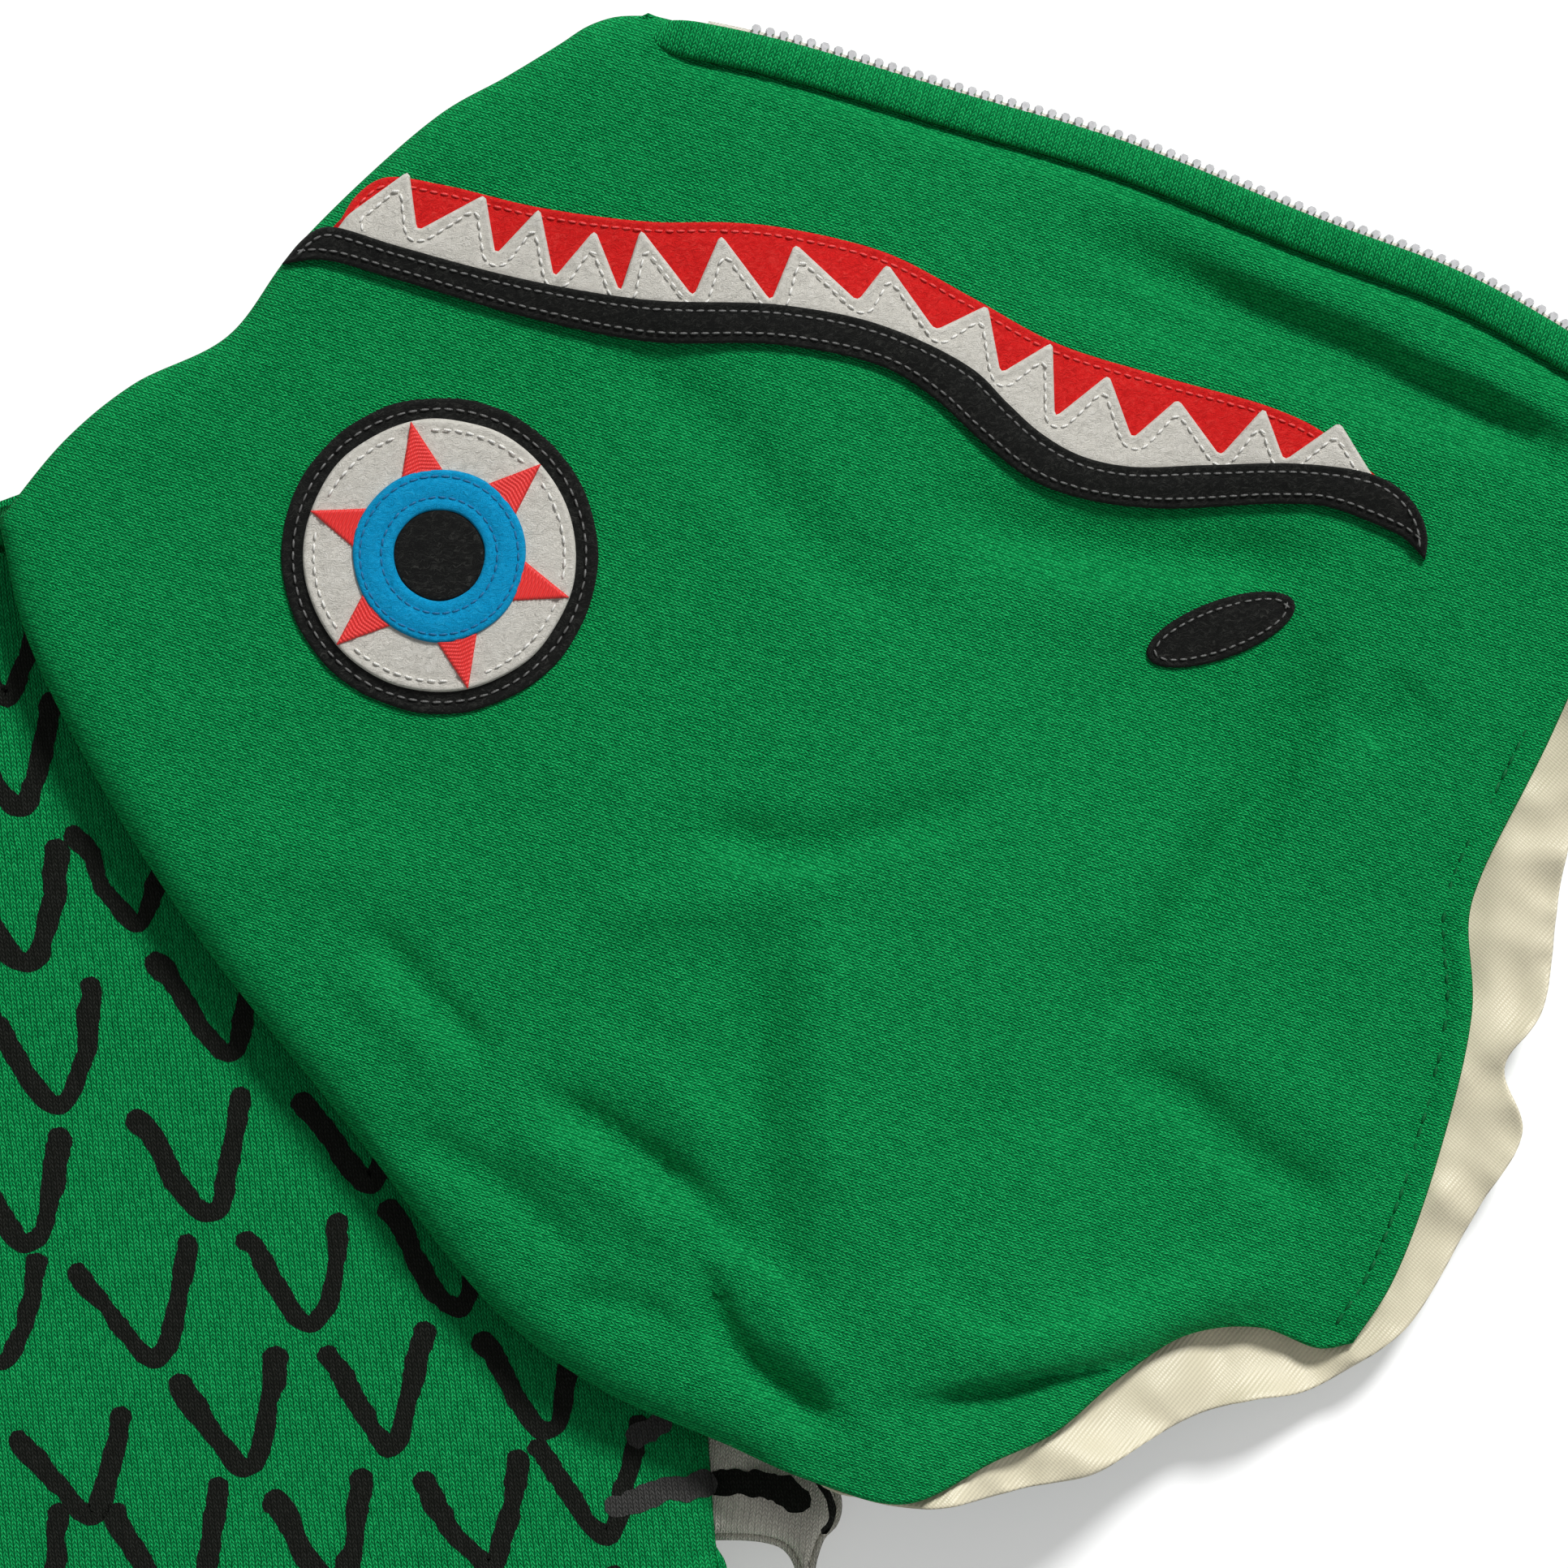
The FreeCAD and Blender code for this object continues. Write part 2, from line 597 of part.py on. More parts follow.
def zip_pull():
    """The pull tab: its end bar runs under the slider's bridge, its far end has the cord hole."""
    body = doc.addObject("PartDesign::Body", "zip_pull_body")
    half_bar = size("pull_thickness") / 2
    tab = rectangle(body, "tab", 0, 0, "sizes.pull_width", "sizes.pull_length", 0)
    pad(body, "pull_tab", tab, "sizes.pull_thickness")
    window_x = (size("pull_width") - size("pull_window")) / 2
    window_y = size("pull_length") - 2 * half_bar - size("pull_window_length")
    window_sides = ("sizes.pull_window", "sizes.pull_window_length")
    window = rectangle(body, "window", window_x, window_y, *window_sides, -1)
    pocket_through(body, "pull_window_cut", window, "sizes.pull_thickness + 2")
    hole = body.newObject("Sketcher::SketchObject", "hole")
    plane = [f for f in body.Origin.OriginFeatures if f.Role == "XY_Plane"][0]
    hole.AttachmentSupport = [(plane, "")]
    hole.MapMode = "FlatFace"
    hole_place = Vector(size("pull_width") / 2, size("pull_hole_inset"), -1)
    hole.AttachmentOffset = FreeCAD.Placement(hole_place, FreeCAD.Rotation())
    hole.addGeometry(Part.Circle(Vector(0, 0, 0), Vector(0, 0, 1), 2), False)
    hole.addConstraint(Sketcher.Constraint("Coincident", 0, 3, -1, 1))
    radius = hole.addConstraint(Sketcher.Constraint("Radius", 0, 2.0))
    hole.setExpression(f"Constraints[{radius}]", "sizes.pull_hole_radius")
    pocket_through(body, "pull_hole_cut", hole, "sizes.pull_thickness + 2")
    corner = at(-size("pull_width") / 2, AXIS_Y + half_bar - size("pull_length"), AXIS_Z - half_bar)
    body.Placement.Base = corner
    return keep(body, "zip_pull")


def retainer():
    """The box at the foot of the chain and the pin that is pushed into it."""
    z = CHAIN_Z - size("retainer_height") / 2
    corner = at(-TAPE_START - 1, ZIP_BOTTOM, z)
    long, high = "sizes.retainer_length", "sizes.retainer_height"
    block = box("retainer_block", corner, "sizes.retainer_width", long, high)
    slot_corner = corner + Vector(-1, -1, (size("retainer_height") - size("tape_thickness")) / 2)
    slot = box("retainer_slot", slot_corner, "2", "sizes.retainer_length + 2", "sizes.tape_thickness")
    clipped = joined("Cut", "retainer_clipped", block, slot)
    clear = size("pin_clearance")
    pin_corner = at(TAPE_START - size("pin_width") - 0.1, ZIP_BOTTOM, CHAIN_Z - size("pin_height") / 2)
    pin_room = box(
        "pin_room",
        pin_corner - Vector(clear, 1, clear),
        "4",
        "sizes.retainer_length + 2",
        "sizes.pin_height + 2 * sizes.pin_clearance",
    )
    keep(joined("Cut", "retainer_body", clipped, pin_room), "zip_retainer_box")
    pin = box("pin_box", pin_corner, "sizes.pin_width", "sizes.retainer_length", "sizes.pin_height")
    return keep(pin, "zip_insertion_pin")


# ---------------------------------------------------------------- hood


def hood_curve(points):
    """One smooth edge of the hood through points of its own frame."""
    return smooth([hood_point(x, y) for x, y in points])


def offset(points, distance):
    """The points moved sideways, to the left of their direction when the distance is positive."""
    moved = []
    for k, (x, y) in enumerate(points):
        ax, ay = points[max(k - 1, 0)]
        bx, by = points[min(k + 1, len(points) - 1)]
        length = math.hypot(bx - ax, by - ay)
        moved.append((x - distance * (by - ay) / length, y + distance * (bx - ax) / length))
    return moved


def zip_line(**spacing):
    """Points along the smooth zip edge, at an even spacing."""
    curve = Part.BSplineCurve()
    curve.interpolate([Vector(x, y, 0) for x, y in ZIP_EDGE])
    return [(p.x, p.y) for p in curve.discretize(**spacing)]


def strip(points, near, far):
    """A face between two offsets of one smooth line."""
    a, b = offset(points, near), offset(points, far)
    ends = [[hood_point(*a[0]), hood_point(*b[0])], [hood_point(*a[-1]), hood_point(*b[-1])]]
    return face_of([hood_curve(a), hood_curve(b)] + straight(ends[0]) + straight(ends[1]))


def layer(face, label, level, thickness):
    """A hood piece of this outline at a level of the stack, bent down past the torso's edge."""
    start = size("hood_bend_start")
    end = start + size("hood_bend_run")
    run = 400.0
    low = [(-run, 0), (start, 0), (end, -HOOD_DROP), (end + run, -HOOD_DROP)]
    high = [(x, z + thickness) for x, z in reversed(low)]
    corners = [at(x, 0, z) + Vector(0, -run, 0) for x, z in low + high]
    band_face = Part.Face(Part.makePolygon(corners + [corners[0]]))
    band = extruded(band_face, label + "_band", "800", HOOD_BASE + level, Vector(0, 1, 0))
    prism = extruded(face, label + "_prism", "80", -10)
    return keep(joined("Common", label + "_layer", band, prism), label)


def hood_faces():
    """The panels' and linings' outlines of the upper and the lower half."""
    seam = offset(zip_line(Number=SEAM_POINTS), -size("welt_width"))
    seam_start, seam_end = seam[0], seam[-1]
    folds = [hood_curve(FOLD_TOP), hood_curve(FOLD_BOTTOM)]
    join = straight([hood_point(*FOLD_TOP[-1]), hood_point(*seam_start)])
    chin_upper = straight([hood_point(*seam_end), hood_point(*OPENING_EDGE[1])])
    chin_lower = straight([hood_point(*seam_end), hood_point(*UNDER_EDGE[1])])
    upper = folds + join + chin_upper + [hood_curve(seam)]
    upper += [hood_curve(OPENING_EDGE[1:]), hood_curve(LOWER_ROLL)]
    lower = folds + join + chin_lower + [hood_curve(seam)]
    lower += [hood_curve(UNDER_EDGE[1:]), hood_curve(UNDER_ROLL)]
    return face_of(upper), face_of(lower)


def lining_face(edge, roll, margin):
    """The lining's outline: inside the gusset and the welt, and close to the open edge."""
    inside = size("hood_wall") + size("lining_clearance")
    seam = offset(zip_line(Number=SEAM_POINTS), -size("welt_width") - size("lining_inset") / 2)[:-4]
    corner = (FOLD_TOP[0][0] + inside * 1.3, FOLD_TOP[0][1])
    before_tape = (FOLD_TOP[-1][0] - 3.2, FOLD_TOP[-1][1] - 3.2)
    fold_top = [corner] + offset(FOLD_TOP, -inside)[1:-1] + [before_tape]
    fold_bottom = offset(FOLD_BOTTOM, -inside)[:-1] + [corner]
    open_edge = offset(edge[1:] + roll[1:-1], -margin)
    corners = [
        [fold_top[-1], seam[0]],
        [seam[-1], open_edge[0]],
        [open_edge[-1], fold_bottom[0]],
    ]
    edges = [hood_curve(fold_top), hood_curve(seam), hood_curve(open_edge), hood_curve(fold_bottom)]
    for a, b in corners:
        edges += straight([hood_point(*a), hood_point(*b)])
    return face_of(edges)


def hood_cloth():
    """Both halves of the hood, their linings, the gusset round the folds, welts, tapes and teeth."""
    felt, knit, lining = 3 * size("felt_thickness"), size("knit_thickness"), size("lining_thickness")
    cavity, tape_thick, tall = size("hood_cavity"), size("hood_tape_thickness"), size("hood_tooth_height")
    upper, lower = hood_faces()
    low_lining = felt + knit
    high_lining = low_lining + lining + cavity
    high = high_lining + lining
    layer(lower, "hood_lower_panel", felt, knit)
    layer(upper, "hood_upper_panel", high, knit)
    layer(lining_face(UNDER_EDGE, UNDER_ROLL, 1.0), "hood_lower_lining", low_lining, lining)
    layer(lining_face(OPENING_EDGE, LOWER_ROLL, 4.0), "hood_upper_lining", high_lining, lining)
    fold = FOLD_BOTTOM + FOLD_TOP[1:]
    layer(strip(fold, 0, -size("hood_wall")), "hood_gusset", low_lining, high - low_lining)
    tape_edge = zip_line(Number=SEAM_POINTS)
    welt_in = -size("welt_width")
    tooth_in = size("bead_width") + size("tooth_reach")
    for half, level, tape_level in (("lower", felt, low_lining), ("upper", high, high - tape_thick)):
        layer(strip(tape_edge, 0, welt_in), f"hood_{half}_welt", level, knit)
        layer(strip(tape_edge, 0.3, welt_in + 0.2), f"hood_{half}_tape", tape_level, tape_thick)
        chain = teeth_face(0.3, 0.3 + size("bead_width"), 0.3 + tooth_in)
        layer(chain, f"hood_{half}_teeth", tape_level + (tape_thick - tall) / 2, tall)


def teeth_face(bead_near, bead_far, tip):
    """The outline of the hood's teeth on their bead, along the zip edge."""
    half = size("tooth_width") / 2
    line = zip_line(Distance=size("tooth_pitch"))
    near, far, tips = offset(line, bead_near), offset(line, bead_far), offset(line, tip)
    outer = [far[0]]
    for k in range(1, len(line) - 1):
        (ax, ay), (bx, by) = line[k - 1], line[k + 1]
        length = math.hypot(bx - ax, by - ay)
        ux, uy = half * (bx - ax) / length, half * (by - ay) / length
        for sign, (x, y) in ((-1, far[k]), (-1, tips[k]), (1, tips[k]), (1, far[k])):
            outer.append((x + sign * ux, y + sign * uy))
    outer.append(far[-1])
    return polygon([hood_point(*p) for p in outer + near[::-1]])


# ---------------------------------------------------------------- face


def disc(centre, radius):
    """A round face of the hood's frame."""
    x, y = hood_point(*centre)
    circle = Part.Circle(at(x, y), Vector(0, 0, 1), radius)
    return Part.Face(Part.Wire(circle.toShape()))


def star_faces():
    """The six rays that stand out from under the iris."""
    faces = []
    cx, cy = EYE_CENTRE
    base, tip, half = size("eye_iris_radius") + 0.05, size("star_tip_radius"), size("star_half_width")
    for degrees in STAR_ANGLES:
        turn = math.radians(degrees)
        c, s = math.cos(turn), math.sin(turn)
        corners = [(base, -half), (tip, 0), (base, half)]
        faces.append(polygon([hood_point(cx + u * c - v * s, cy + u * s + v * c) for u, v in corners]))
    return Part.Compound(faces)


def nostril_face():
    """The nostril's tilted ellipse."""
    x, y = hood_point(*NOSTRIL_CENTRE)
    tilt = math.radians(size("nostril_tilt")) - HOOD_TURN
    ellipse = Part.Ellipse(at(x, y), size("nostril_long"), size("nostril_short"))
    turn = FreeCAD.Rotation(Vector(0, 0, 1), math.degrees(tilt))
    ellipse.rotate(FreeCAD.Placement(Vector(), turn, at(x, y)))
    return Part.Face(Part.Wire(ellipse.toShape()))


def mouth_faces():
    """The mouth's base, the row of teeth and the lip, from the top edges down to the lip's lower edge."""
    lower = offset(LIP_BOTTOM, -1.5)[1:-1]
    base_points = MOUTH_TOP + [(93, 38)] + lower + [(-72, 77)]
    base = polygon([hood_point(*p) for p in base_points])
    zigzag = [TOOTH_ROOTS[0]]
    for tip, root in zip(TOOTH_TIPS, TOOTH_ROOTS[1:]):
        zigzag += [tip, root]
    gum = offset(LIP_TOP, -2.0)[1:-2]
    teeth = polygon([hood_point(*p) for p in zigzag + gum[::-1]])
    lip = face_of([hood_curve(LIP_TOP), hood_curve(LIP_BOTTOM)])
    return base, teeth, lip


def creature_face():
    """The felt face on both sides of the hood: eye, mouth and nostril, each piece on the one below it."""
    felt, knit = size("felt_thickness"), size("knit_thickness")
    surface = 3 * felt + 2 * knit + 2 * size("lining_thickness") + size("hood_cavity")
    base, teeth, lip = mouth_faces()
    pupil_hole = disc(EYE_CENTRE, size("eye_pupil_radius") + 0.05)
    iris_ring = disc(EYE_CENTRE, size("eye_iris_radius")).cut(pupil_hole)
    pieces = [
        ("eye_rim", disc(EYE_CENTRE, size("eye_rim_radius")), 0, felt),
        ("eye_white", disc(EYE_CENTRE, size("eye_white_radius")), 1, felt),
        ("eye_iris", iris_ring, 2, felt),
        ("eye_pupil", disc(EYE_CENTRE, size("eye_pupil_radius")), 2, size("pupil_thickness")),
        ("mouth_red", base, 0, felt),
        ("mouth_teeth", teeth, 1, felt),
        ("mouth_lip", lip, 2, felt),
        ("nostril", nostril_face(), 0, felt),
    ]
    for name, face, step, thick in pieces:
        layer(face, "upper_" + name, surface + step * felt, thick)
        layer(face, "lower_" + name, 3 * felt - step * felt - thick, thick)
    star = star_faces()
    thick = size("star_thickness")
    for half, level in (("upper", surface + 2 * felt), ("lower", felt - thick)):
        outside = joined_rays(star, half, level, thick)
        keep(outside, half + "_eye_star")


def joined_rays(star, half, level, thick):
    """The star's rays as one group of bent pieces."""
    rays = []
    for k, ray in enumerate(star.Faces):
        rays.append(layer(ray, f"{half}_ray_{k}", level, thick))
        parts.pop(f"{half}_ray_{k}")
    group = doc.addObject("Part::Compound", half + "_star")
    group.Links = rays
    return group


for side, hand in ((1, "right"), (-1, "left")):
    front_panel(side, f"front_{hand}_panel")
    hem_front(side, f"hem_front_{hand}")
    collar_front(side, f"collar_front_{hand}")
    sleeve(side, f"{hand}_sleeve")
    cuff(side, f"{hand}_cuff")
    pocket(side, f"{hand}_pocket")
    tape(side, f"zip_tape_{hand}")
    comb(side, f"zip_teeth_{hand}")
back_panel()
hem_back()
collar_back()
hood_neck()
top_stops()
retainer()
zip_slider()
zip_pull()
hood_cloth()
creature_face()

doc.recompute()
for node in doc.Objects:
    if "Invalid" in node.State or "Error" in node.State:
        raise RuntimeError(f"{node.Name} failed: {node.State}")
for label, node in parts.items():
    shape = node.Shape
    if shape.isNull() or not shape.isValid() or not shape.Solids:
        raise RuntimeError(f"{label} has no valid solid")

os.makedirs("parts", exist_ok=True)
for label, node in parts.items():
    node.Shape.exportStep(f"parts/{label}.step")
box_of_all = Part.Compound([node.Shape for node in parts.values()]).BoundBox
print(len(parts), "parts")
print("x", round(box_of_all.XMin, 2), round(box_of_all.XMax, 2))
print("y", round(box_of_all.YMin, 2), round(box_of_all.YMax, 2))
print("z", round(box_of_all.ZMin, 2), round(box_of_all.ZMax, 2))
print("centre line", round(CENTRE_X, 4), "neck", round(NECK_Y, 4))
print("pull axis", at(0, AXIS_Y, AXIS_Z), "slider can fall", round(SLIDER_Y - CHAIN_BOTTOM, 2))
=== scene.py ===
"""Looks of a child's full-zip creature hoodie, folded flat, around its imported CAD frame.

Lengths inside the script are millimetres in the row's frame unless a name says otherwise; meshes are
written in metres. The hood has its own frame, turned a little from the torso's: x along the hood towards
the chin, y towards the zip.
"""
import math

import bpy
import numpy as np
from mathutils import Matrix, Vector, geometry


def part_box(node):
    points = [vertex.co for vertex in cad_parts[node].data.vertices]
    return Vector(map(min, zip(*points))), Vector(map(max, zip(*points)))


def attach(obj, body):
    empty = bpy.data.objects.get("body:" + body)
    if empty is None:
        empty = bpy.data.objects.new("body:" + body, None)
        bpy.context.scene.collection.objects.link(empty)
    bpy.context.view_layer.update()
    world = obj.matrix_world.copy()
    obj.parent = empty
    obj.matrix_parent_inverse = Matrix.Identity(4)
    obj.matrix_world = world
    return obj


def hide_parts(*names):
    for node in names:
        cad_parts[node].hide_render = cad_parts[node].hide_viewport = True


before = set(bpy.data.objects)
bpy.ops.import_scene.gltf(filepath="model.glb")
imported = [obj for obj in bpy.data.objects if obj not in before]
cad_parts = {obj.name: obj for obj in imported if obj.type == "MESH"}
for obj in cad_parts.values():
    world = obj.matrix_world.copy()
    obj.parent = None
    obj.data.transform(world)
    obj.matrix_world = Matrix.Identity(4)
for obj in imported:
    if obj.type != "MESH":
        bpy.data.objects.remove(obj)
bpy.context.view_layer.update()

MM = 0.001
rng = np.random.default_rng(7)

# ------------------------------------------------------------------ places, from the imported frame


def box_mm(node):
    """A CAD node's lowest and highest corner, in millimetres."""
    low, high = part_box(node)
    return np.array(low) / MM, np.array(high) / MM


def middle(node):
    low, high = box_mm(node)
    return (low + high) / 2


HOOD_TURN = math.radians(7)
EYE = (-50.5, 33.5)
NOSTRIL = (65.0, 23.0)
COS, SIN = math.cos(HOOD_TURN), math.sin(HOOD_TURN)
CENTRE_X = middle("hem_back")[0]
NECK_Y = box_mm("back_panel")[1][1]
HEM_TOP = box_mm("back_panel")[0][1]
HEM_END = box_mm("hem_back")[0][1]
BACK_Z = box_mm("back_panel")[0][2]
FRONT_Z = box_mm("front_right_panel")[1][2]
FACING = 3.6
PANEL_EDGE = box_mm("front_right_panel")[0][0] - CENTRE_X - FACING
HOOD_BASE = box_mm("lower_eye_rim")[1][2] - 3.0
FELT = 1.0
KNIT = 1.5
HOOD_TOP = box_mm("upper_eye_rim")[0][2]
FLOOR_GAP = 0.3
HOOD_DROP = HOOD_BASE - FLOOR_GAP
BEND_START, BEND_END = 186.0, 262.0


def turned(points):
    """Points of the hood's frame, turned into the torso's directions."""
    p = np.asarray(points, float)
    return np.stack([p[:, 0] * COS + p[:, 1] * SIN, -p[:, 0] * SIN + p[:, 1] * COS], 1)


HOOD_ORIGIN = middle("upper_eye_rim")[:2] - turned([EYE])[0]


def hood(points):
    """Points of the hood's frame in the row's frame."""
    return turned(points) + HOOD_ORIGIN


def torso(points):
    """Points given from the centre line and the shoulder's high point, in the row's frame."""
    return np.asarray(points, float) + (CENTRE_X, NECK_Y)


# ------------------------------------------------------------------ lines and distances


def run_of(line):
    """The length of the line up to each of its points."""
    return np.concatenate([[0], np.cumsum(np.hypot(*np.diff(line, axis=0).T))])


def resample(points, step):
    """The line through the points, in even steps."""
    p = np.asarray(points, float)
    run = run_of(p)
    count = max(2, int(round(run[-1] / step)) + 1)
    at = np.linspace(0, run[-1], count)
    return np.stack([np.interp(at, run, p[:, k]) for k in (0, 1)], 1)


SPAN_STEPS = 24  # points worked out between two given ones, before the line is put in even steps


def smooth(points, step=1.0, closed=False):
    """A smooth line through the points (centripetal Catmull-Rom), in even steps."""
    p = np.asarray(points, float)
    if closed:
        p = np.concatenate([p[-2:], p, p[:2]])
    else:
        p = np.concatenate([[2 * p[0] - p[1]], p, [2 * p[-1] - p[-2]]])
    out = []
    for k in range(1, len(p) - 2):
        a, b, c, d = p[k - 1 : k + 3]
        t0 = 0.0
        t1 = np.linalg.norm(b - a) ** 0.5 + 1e-9
        t2 = t1 + np.linalg.norm(c - b) ** 0.5 + 1e-9
        t3 = t2 + np.linalg.norm(d - c) ** 0.5 + 1e-9
        t = np.linspace(t1, t2, SPAN_STEPS, endpoint=False)[:, None]
        e = (t1 - t) / (t1 - t0) * a + (t - t0) / (t1 - t0) * b
        f = (t2 - t) / (t2 - t1) * b + (t - t1) / (t2 - t1) * c
        g = (t3 - t) / (t3 - t2) * c + (t - t2) / (t3 - t2) * d
        h = (t2 - t) / (t2 - t0) * e + (t - t0) / (t2 - t0) * f
        i = (t3 - t) / (t3 - t1) * f + (t - t1) / (t3 - t1) * g
        out.append((t2 - t) / (t2 - t1) * h + (t - t1) / (t2 - t1) * i)
    line = np.concatenate(out + [p[-2:-1]])
    if closed:
        line = line[SPAN_STEPS:-SPAN_STEPS]
    return resample(line, step)


def normals_of(line):
    """Unit vectors to the left of the line at each point."""
    d = np.gradient(line, axis=0)
    d /= np.maximum(np.hypot(d[:, 0], d[:, 1]), 1e-9)[:, None]
    return np.stack([-d[:, 1], d[:, 0]], 1)


def offset(line, distance):
    """The line moved to its left by the distance."""
    return line + normals_of(line) * distance


def distance(points, line, closed=False):
    """How far each point is from the line."""
    a = line if closed else line[:-1]
    b = np.roll(line, -1, 0) if closed else line[1:]
    best = np.full(len(points), 1e9)
    for start in range(0, len(points), 4000):
        p = points[start : start + 4000]
        ab = b - a
        ap = p[:, None, :] - a[None]
        t = np.clip((ap * ab).sum(2) / np.maximum((ab * ab).sum(1), 1e-12), 0, 1)
        gap = ap - t[:, :, None] * ab
        best[start : start + 4000] = np.sqrt((gap * gap).sum(2)).min(1)
    return best


def inside(points, polygon):
    """Which points lie inside the closed polygon."""
    x, y = points[:, 0], points[:, 1]
    result = np.zeros(len(points), bool)
    ax, ay = polygon[-1]
    for bx, by in polygon:
        crosses = (by > y) != (ay > y)
        at = (ax - bx) * (y - by) / ((ay - by) if ay != by else 1e-12) + bx
        result ^= crosses & (x < at)
        ax, ay = bx, by
    return result


def ease(t):
    """A smooth step from 0 to 1."""
    t = np.clip(t, 0, 1)
    return t * t * (3 - 2 * t)


def waves(p, size, seed):
    """Soft seeded undulation from -1 to 1, with lumps of about that size."""
    r = np.random.default_rng(seed)
    total = np.zeros(len(p))
    for _ in range(7):
        turn = r.uniform(0, 2 * math.pi)
        k = 2 * math.pi / (size * r.uniform(0.7, 1.8))
        total += np.sin(k * (p[:, 0] * math.cos(turn) + p[:, 1] * math.sin(turn)) + r.uniform(0, 6.28))
    return total / 4


# ------------------------------------------------------------------ outlines of the hood

FOLD_TOP = [
    (-116, 39), (-106, 51), (-96, 59), (-82, 66), (-72, 79), (-51, 98.6), (-41, 104.3), (-33, 109.2),
    (-29, 111.8), (-25, 113.2), (-20, 113.5),
]
ZIP_EDGE = [(-20, 113.5), (0, 109.5), (26, 102.5), (52, 95.5), (81, 84), (103, 75.5), (133, 58)]
OPENING = [
    (133, 58), (130, 44), (115, 8), (104, -14), (102.3, -20), (102.8, -34), (98, -55), (91, -74),
    (85, -83.5),
]
LOWER_ROLL = [
    (85, -83.5), (80, -84.3), (71, -81.1), (60, -82), (50, -88), (40, -96), (31, -100), (18, -106),
    (5, -103), (-10, -97),
]
FOLD_BOTTOM = [
    (-10, -97), (-27, -89.5), (-42, -78.5), (-64, -51), (-86, -23.5), (-100, -2), (-112, 22), (-116, 39),
]
UNDER_EDGE = [
    (133, 58), (131, 38), (117, -12), (113.6, -34), (108, -42.3), (110.7, -52), (104.5, -63), (94, -80.6),
    (89, -85),
]
UNDER_ROLL = [
    (89, -85), (78, -91), (70, -92), (61, -94.5), (54, -98), (46, -102.5), (37, -104.2), (18, -107),
    (-10, -97),
]

fold_top = smooth(hood(FOLD_TOP))
zip_edge = smooth(hood(ZIP_EDGE))
opening = smooth(hood(OPENING))
lower_roll = smooth(hood(LOWER_ROLL))
fold_bottom = smooth(hood(FOLD_BOTTOM))
under_edge = smooth(hood(UNDER_EDGE))
under_roll = smooth(hood(UNDER_ROLL))
WELT = 5.5


def loop(*lines):
    """Lines joined end to end as one closed outline."""
    return np.concatenate([line[:-1] for line in lines])


upper_outline = loop(fold_top, zip_edge, opening, lower_roll, fold_bottom)
under_outline = loop(fold_top, zip_edge, under_edge, under_roll, fold_bottom)
upper_folds = np.concatenate([lower_roll, fold_bottom, fold_top])
side_folds = np.concatenate([fold_bottom, fold_top])

# Creases and ridges of the upper half: points of the hood's frame, half width, height.
FOLDS = [
    ([(40, 83), (64, 73), (86, 64), (100, 58), (122, 45)], 4.6, -3.4),
    ([(34, 77), (60, 67), (80, 60), (104, 51)], 3.2, -1.2),
    ([(60, 80), (84, 70), (118, 54)], 3.0, 1.4),
    ([(88, 66), (104, 60), (126, 49)], 2.2, 1.0),
    ([(20, 43), (36, 37), (56, 34), (84, 33.5)], 4.6, -2.2),
    ([(30, 30), (52, 26), (72, 30)], 6.0, 1.0),
    ([(-32, 63), (-20, 60), (-8, 50), (6, 34), (24, 22)], 5.5, -1.5),
    ([(-62, -20), (-50, -33), (-42, -41)], 2.4, -1.5),
    ([(-66, -26), (-54, -38), (-46, -46)], 2.8, 0.9),
    ([(-38, -44), (-25, -51.5), (-11, -62), (-2, -72)], 2.5, -2.0),
    ([(-42, -50), (-28, -58), (-14, -69)], 3.0, 1.2),
    ([(-30, -38), (-14, -48), (-2, -58)], 4.5, 1.1),
    ([(-58, -50), (-42, -59), (-28, -71)], 3.0, -1.5),
    ([(-34, -76), (-22, -77), (-12, -83)], 2.4, -1.2),
    ([(-12, -70), (-8, -82), (2, -91), (10, -96)], 2.8, -3.0),
    ([(-3, -70), (1, -80), (10, -88)], 3.0, 1.3),
    ([(-1, -21), (-5, -42), (-3, -62), (4, -80)], 4.6, -1.9),
    ([(7, -20), (5, -44), (8, -64)], 5.0, 1.3),
    ([(-14, -28), (-15, -44), (-12, -56)], 5.0, 0.9),
    ([(-16, -5), (2, -9.5), (18, -6), (32, 0)], 3.6, -1.8),
    ([(-30, -19), (-12, -17), (8, -15)], 4.5, 1.3),
    ([(-88, -10), (-64, -12), (-40, -17)], 7.0, 0.9),
    ([(79, 26), (77, 12), (68, -6), (56, -24), (46, -40)], 4.0, -2.3),
    ([(88, 8), (78, -8), (66, -26), (58, -36)], 6.5, 1.5),
    ([(66, 8), (56, -10), (44, -26)], 6.5, 1.1),
    ([(47, -40), (60, -47), (70, -56), (84, -64)], 3.6, -1.9),
    ([(58, -36), (76, -46), (88, -56)], 6.0, 0.9),
    ([(86, 6), (95, 15)], 4.5, -1.2),
    ([(33, -40), (24, -60), (20, -78)], 4.2, -1.3),
    ([(42, -50), (36, -68), (34, -80)], 6.0, 1.2),
    ([(16, -78), (30, -82), (46, -81), (62, -76), (78, -73)], 4.6, 1.6),
]


FOLD_DEPTH = 1.4


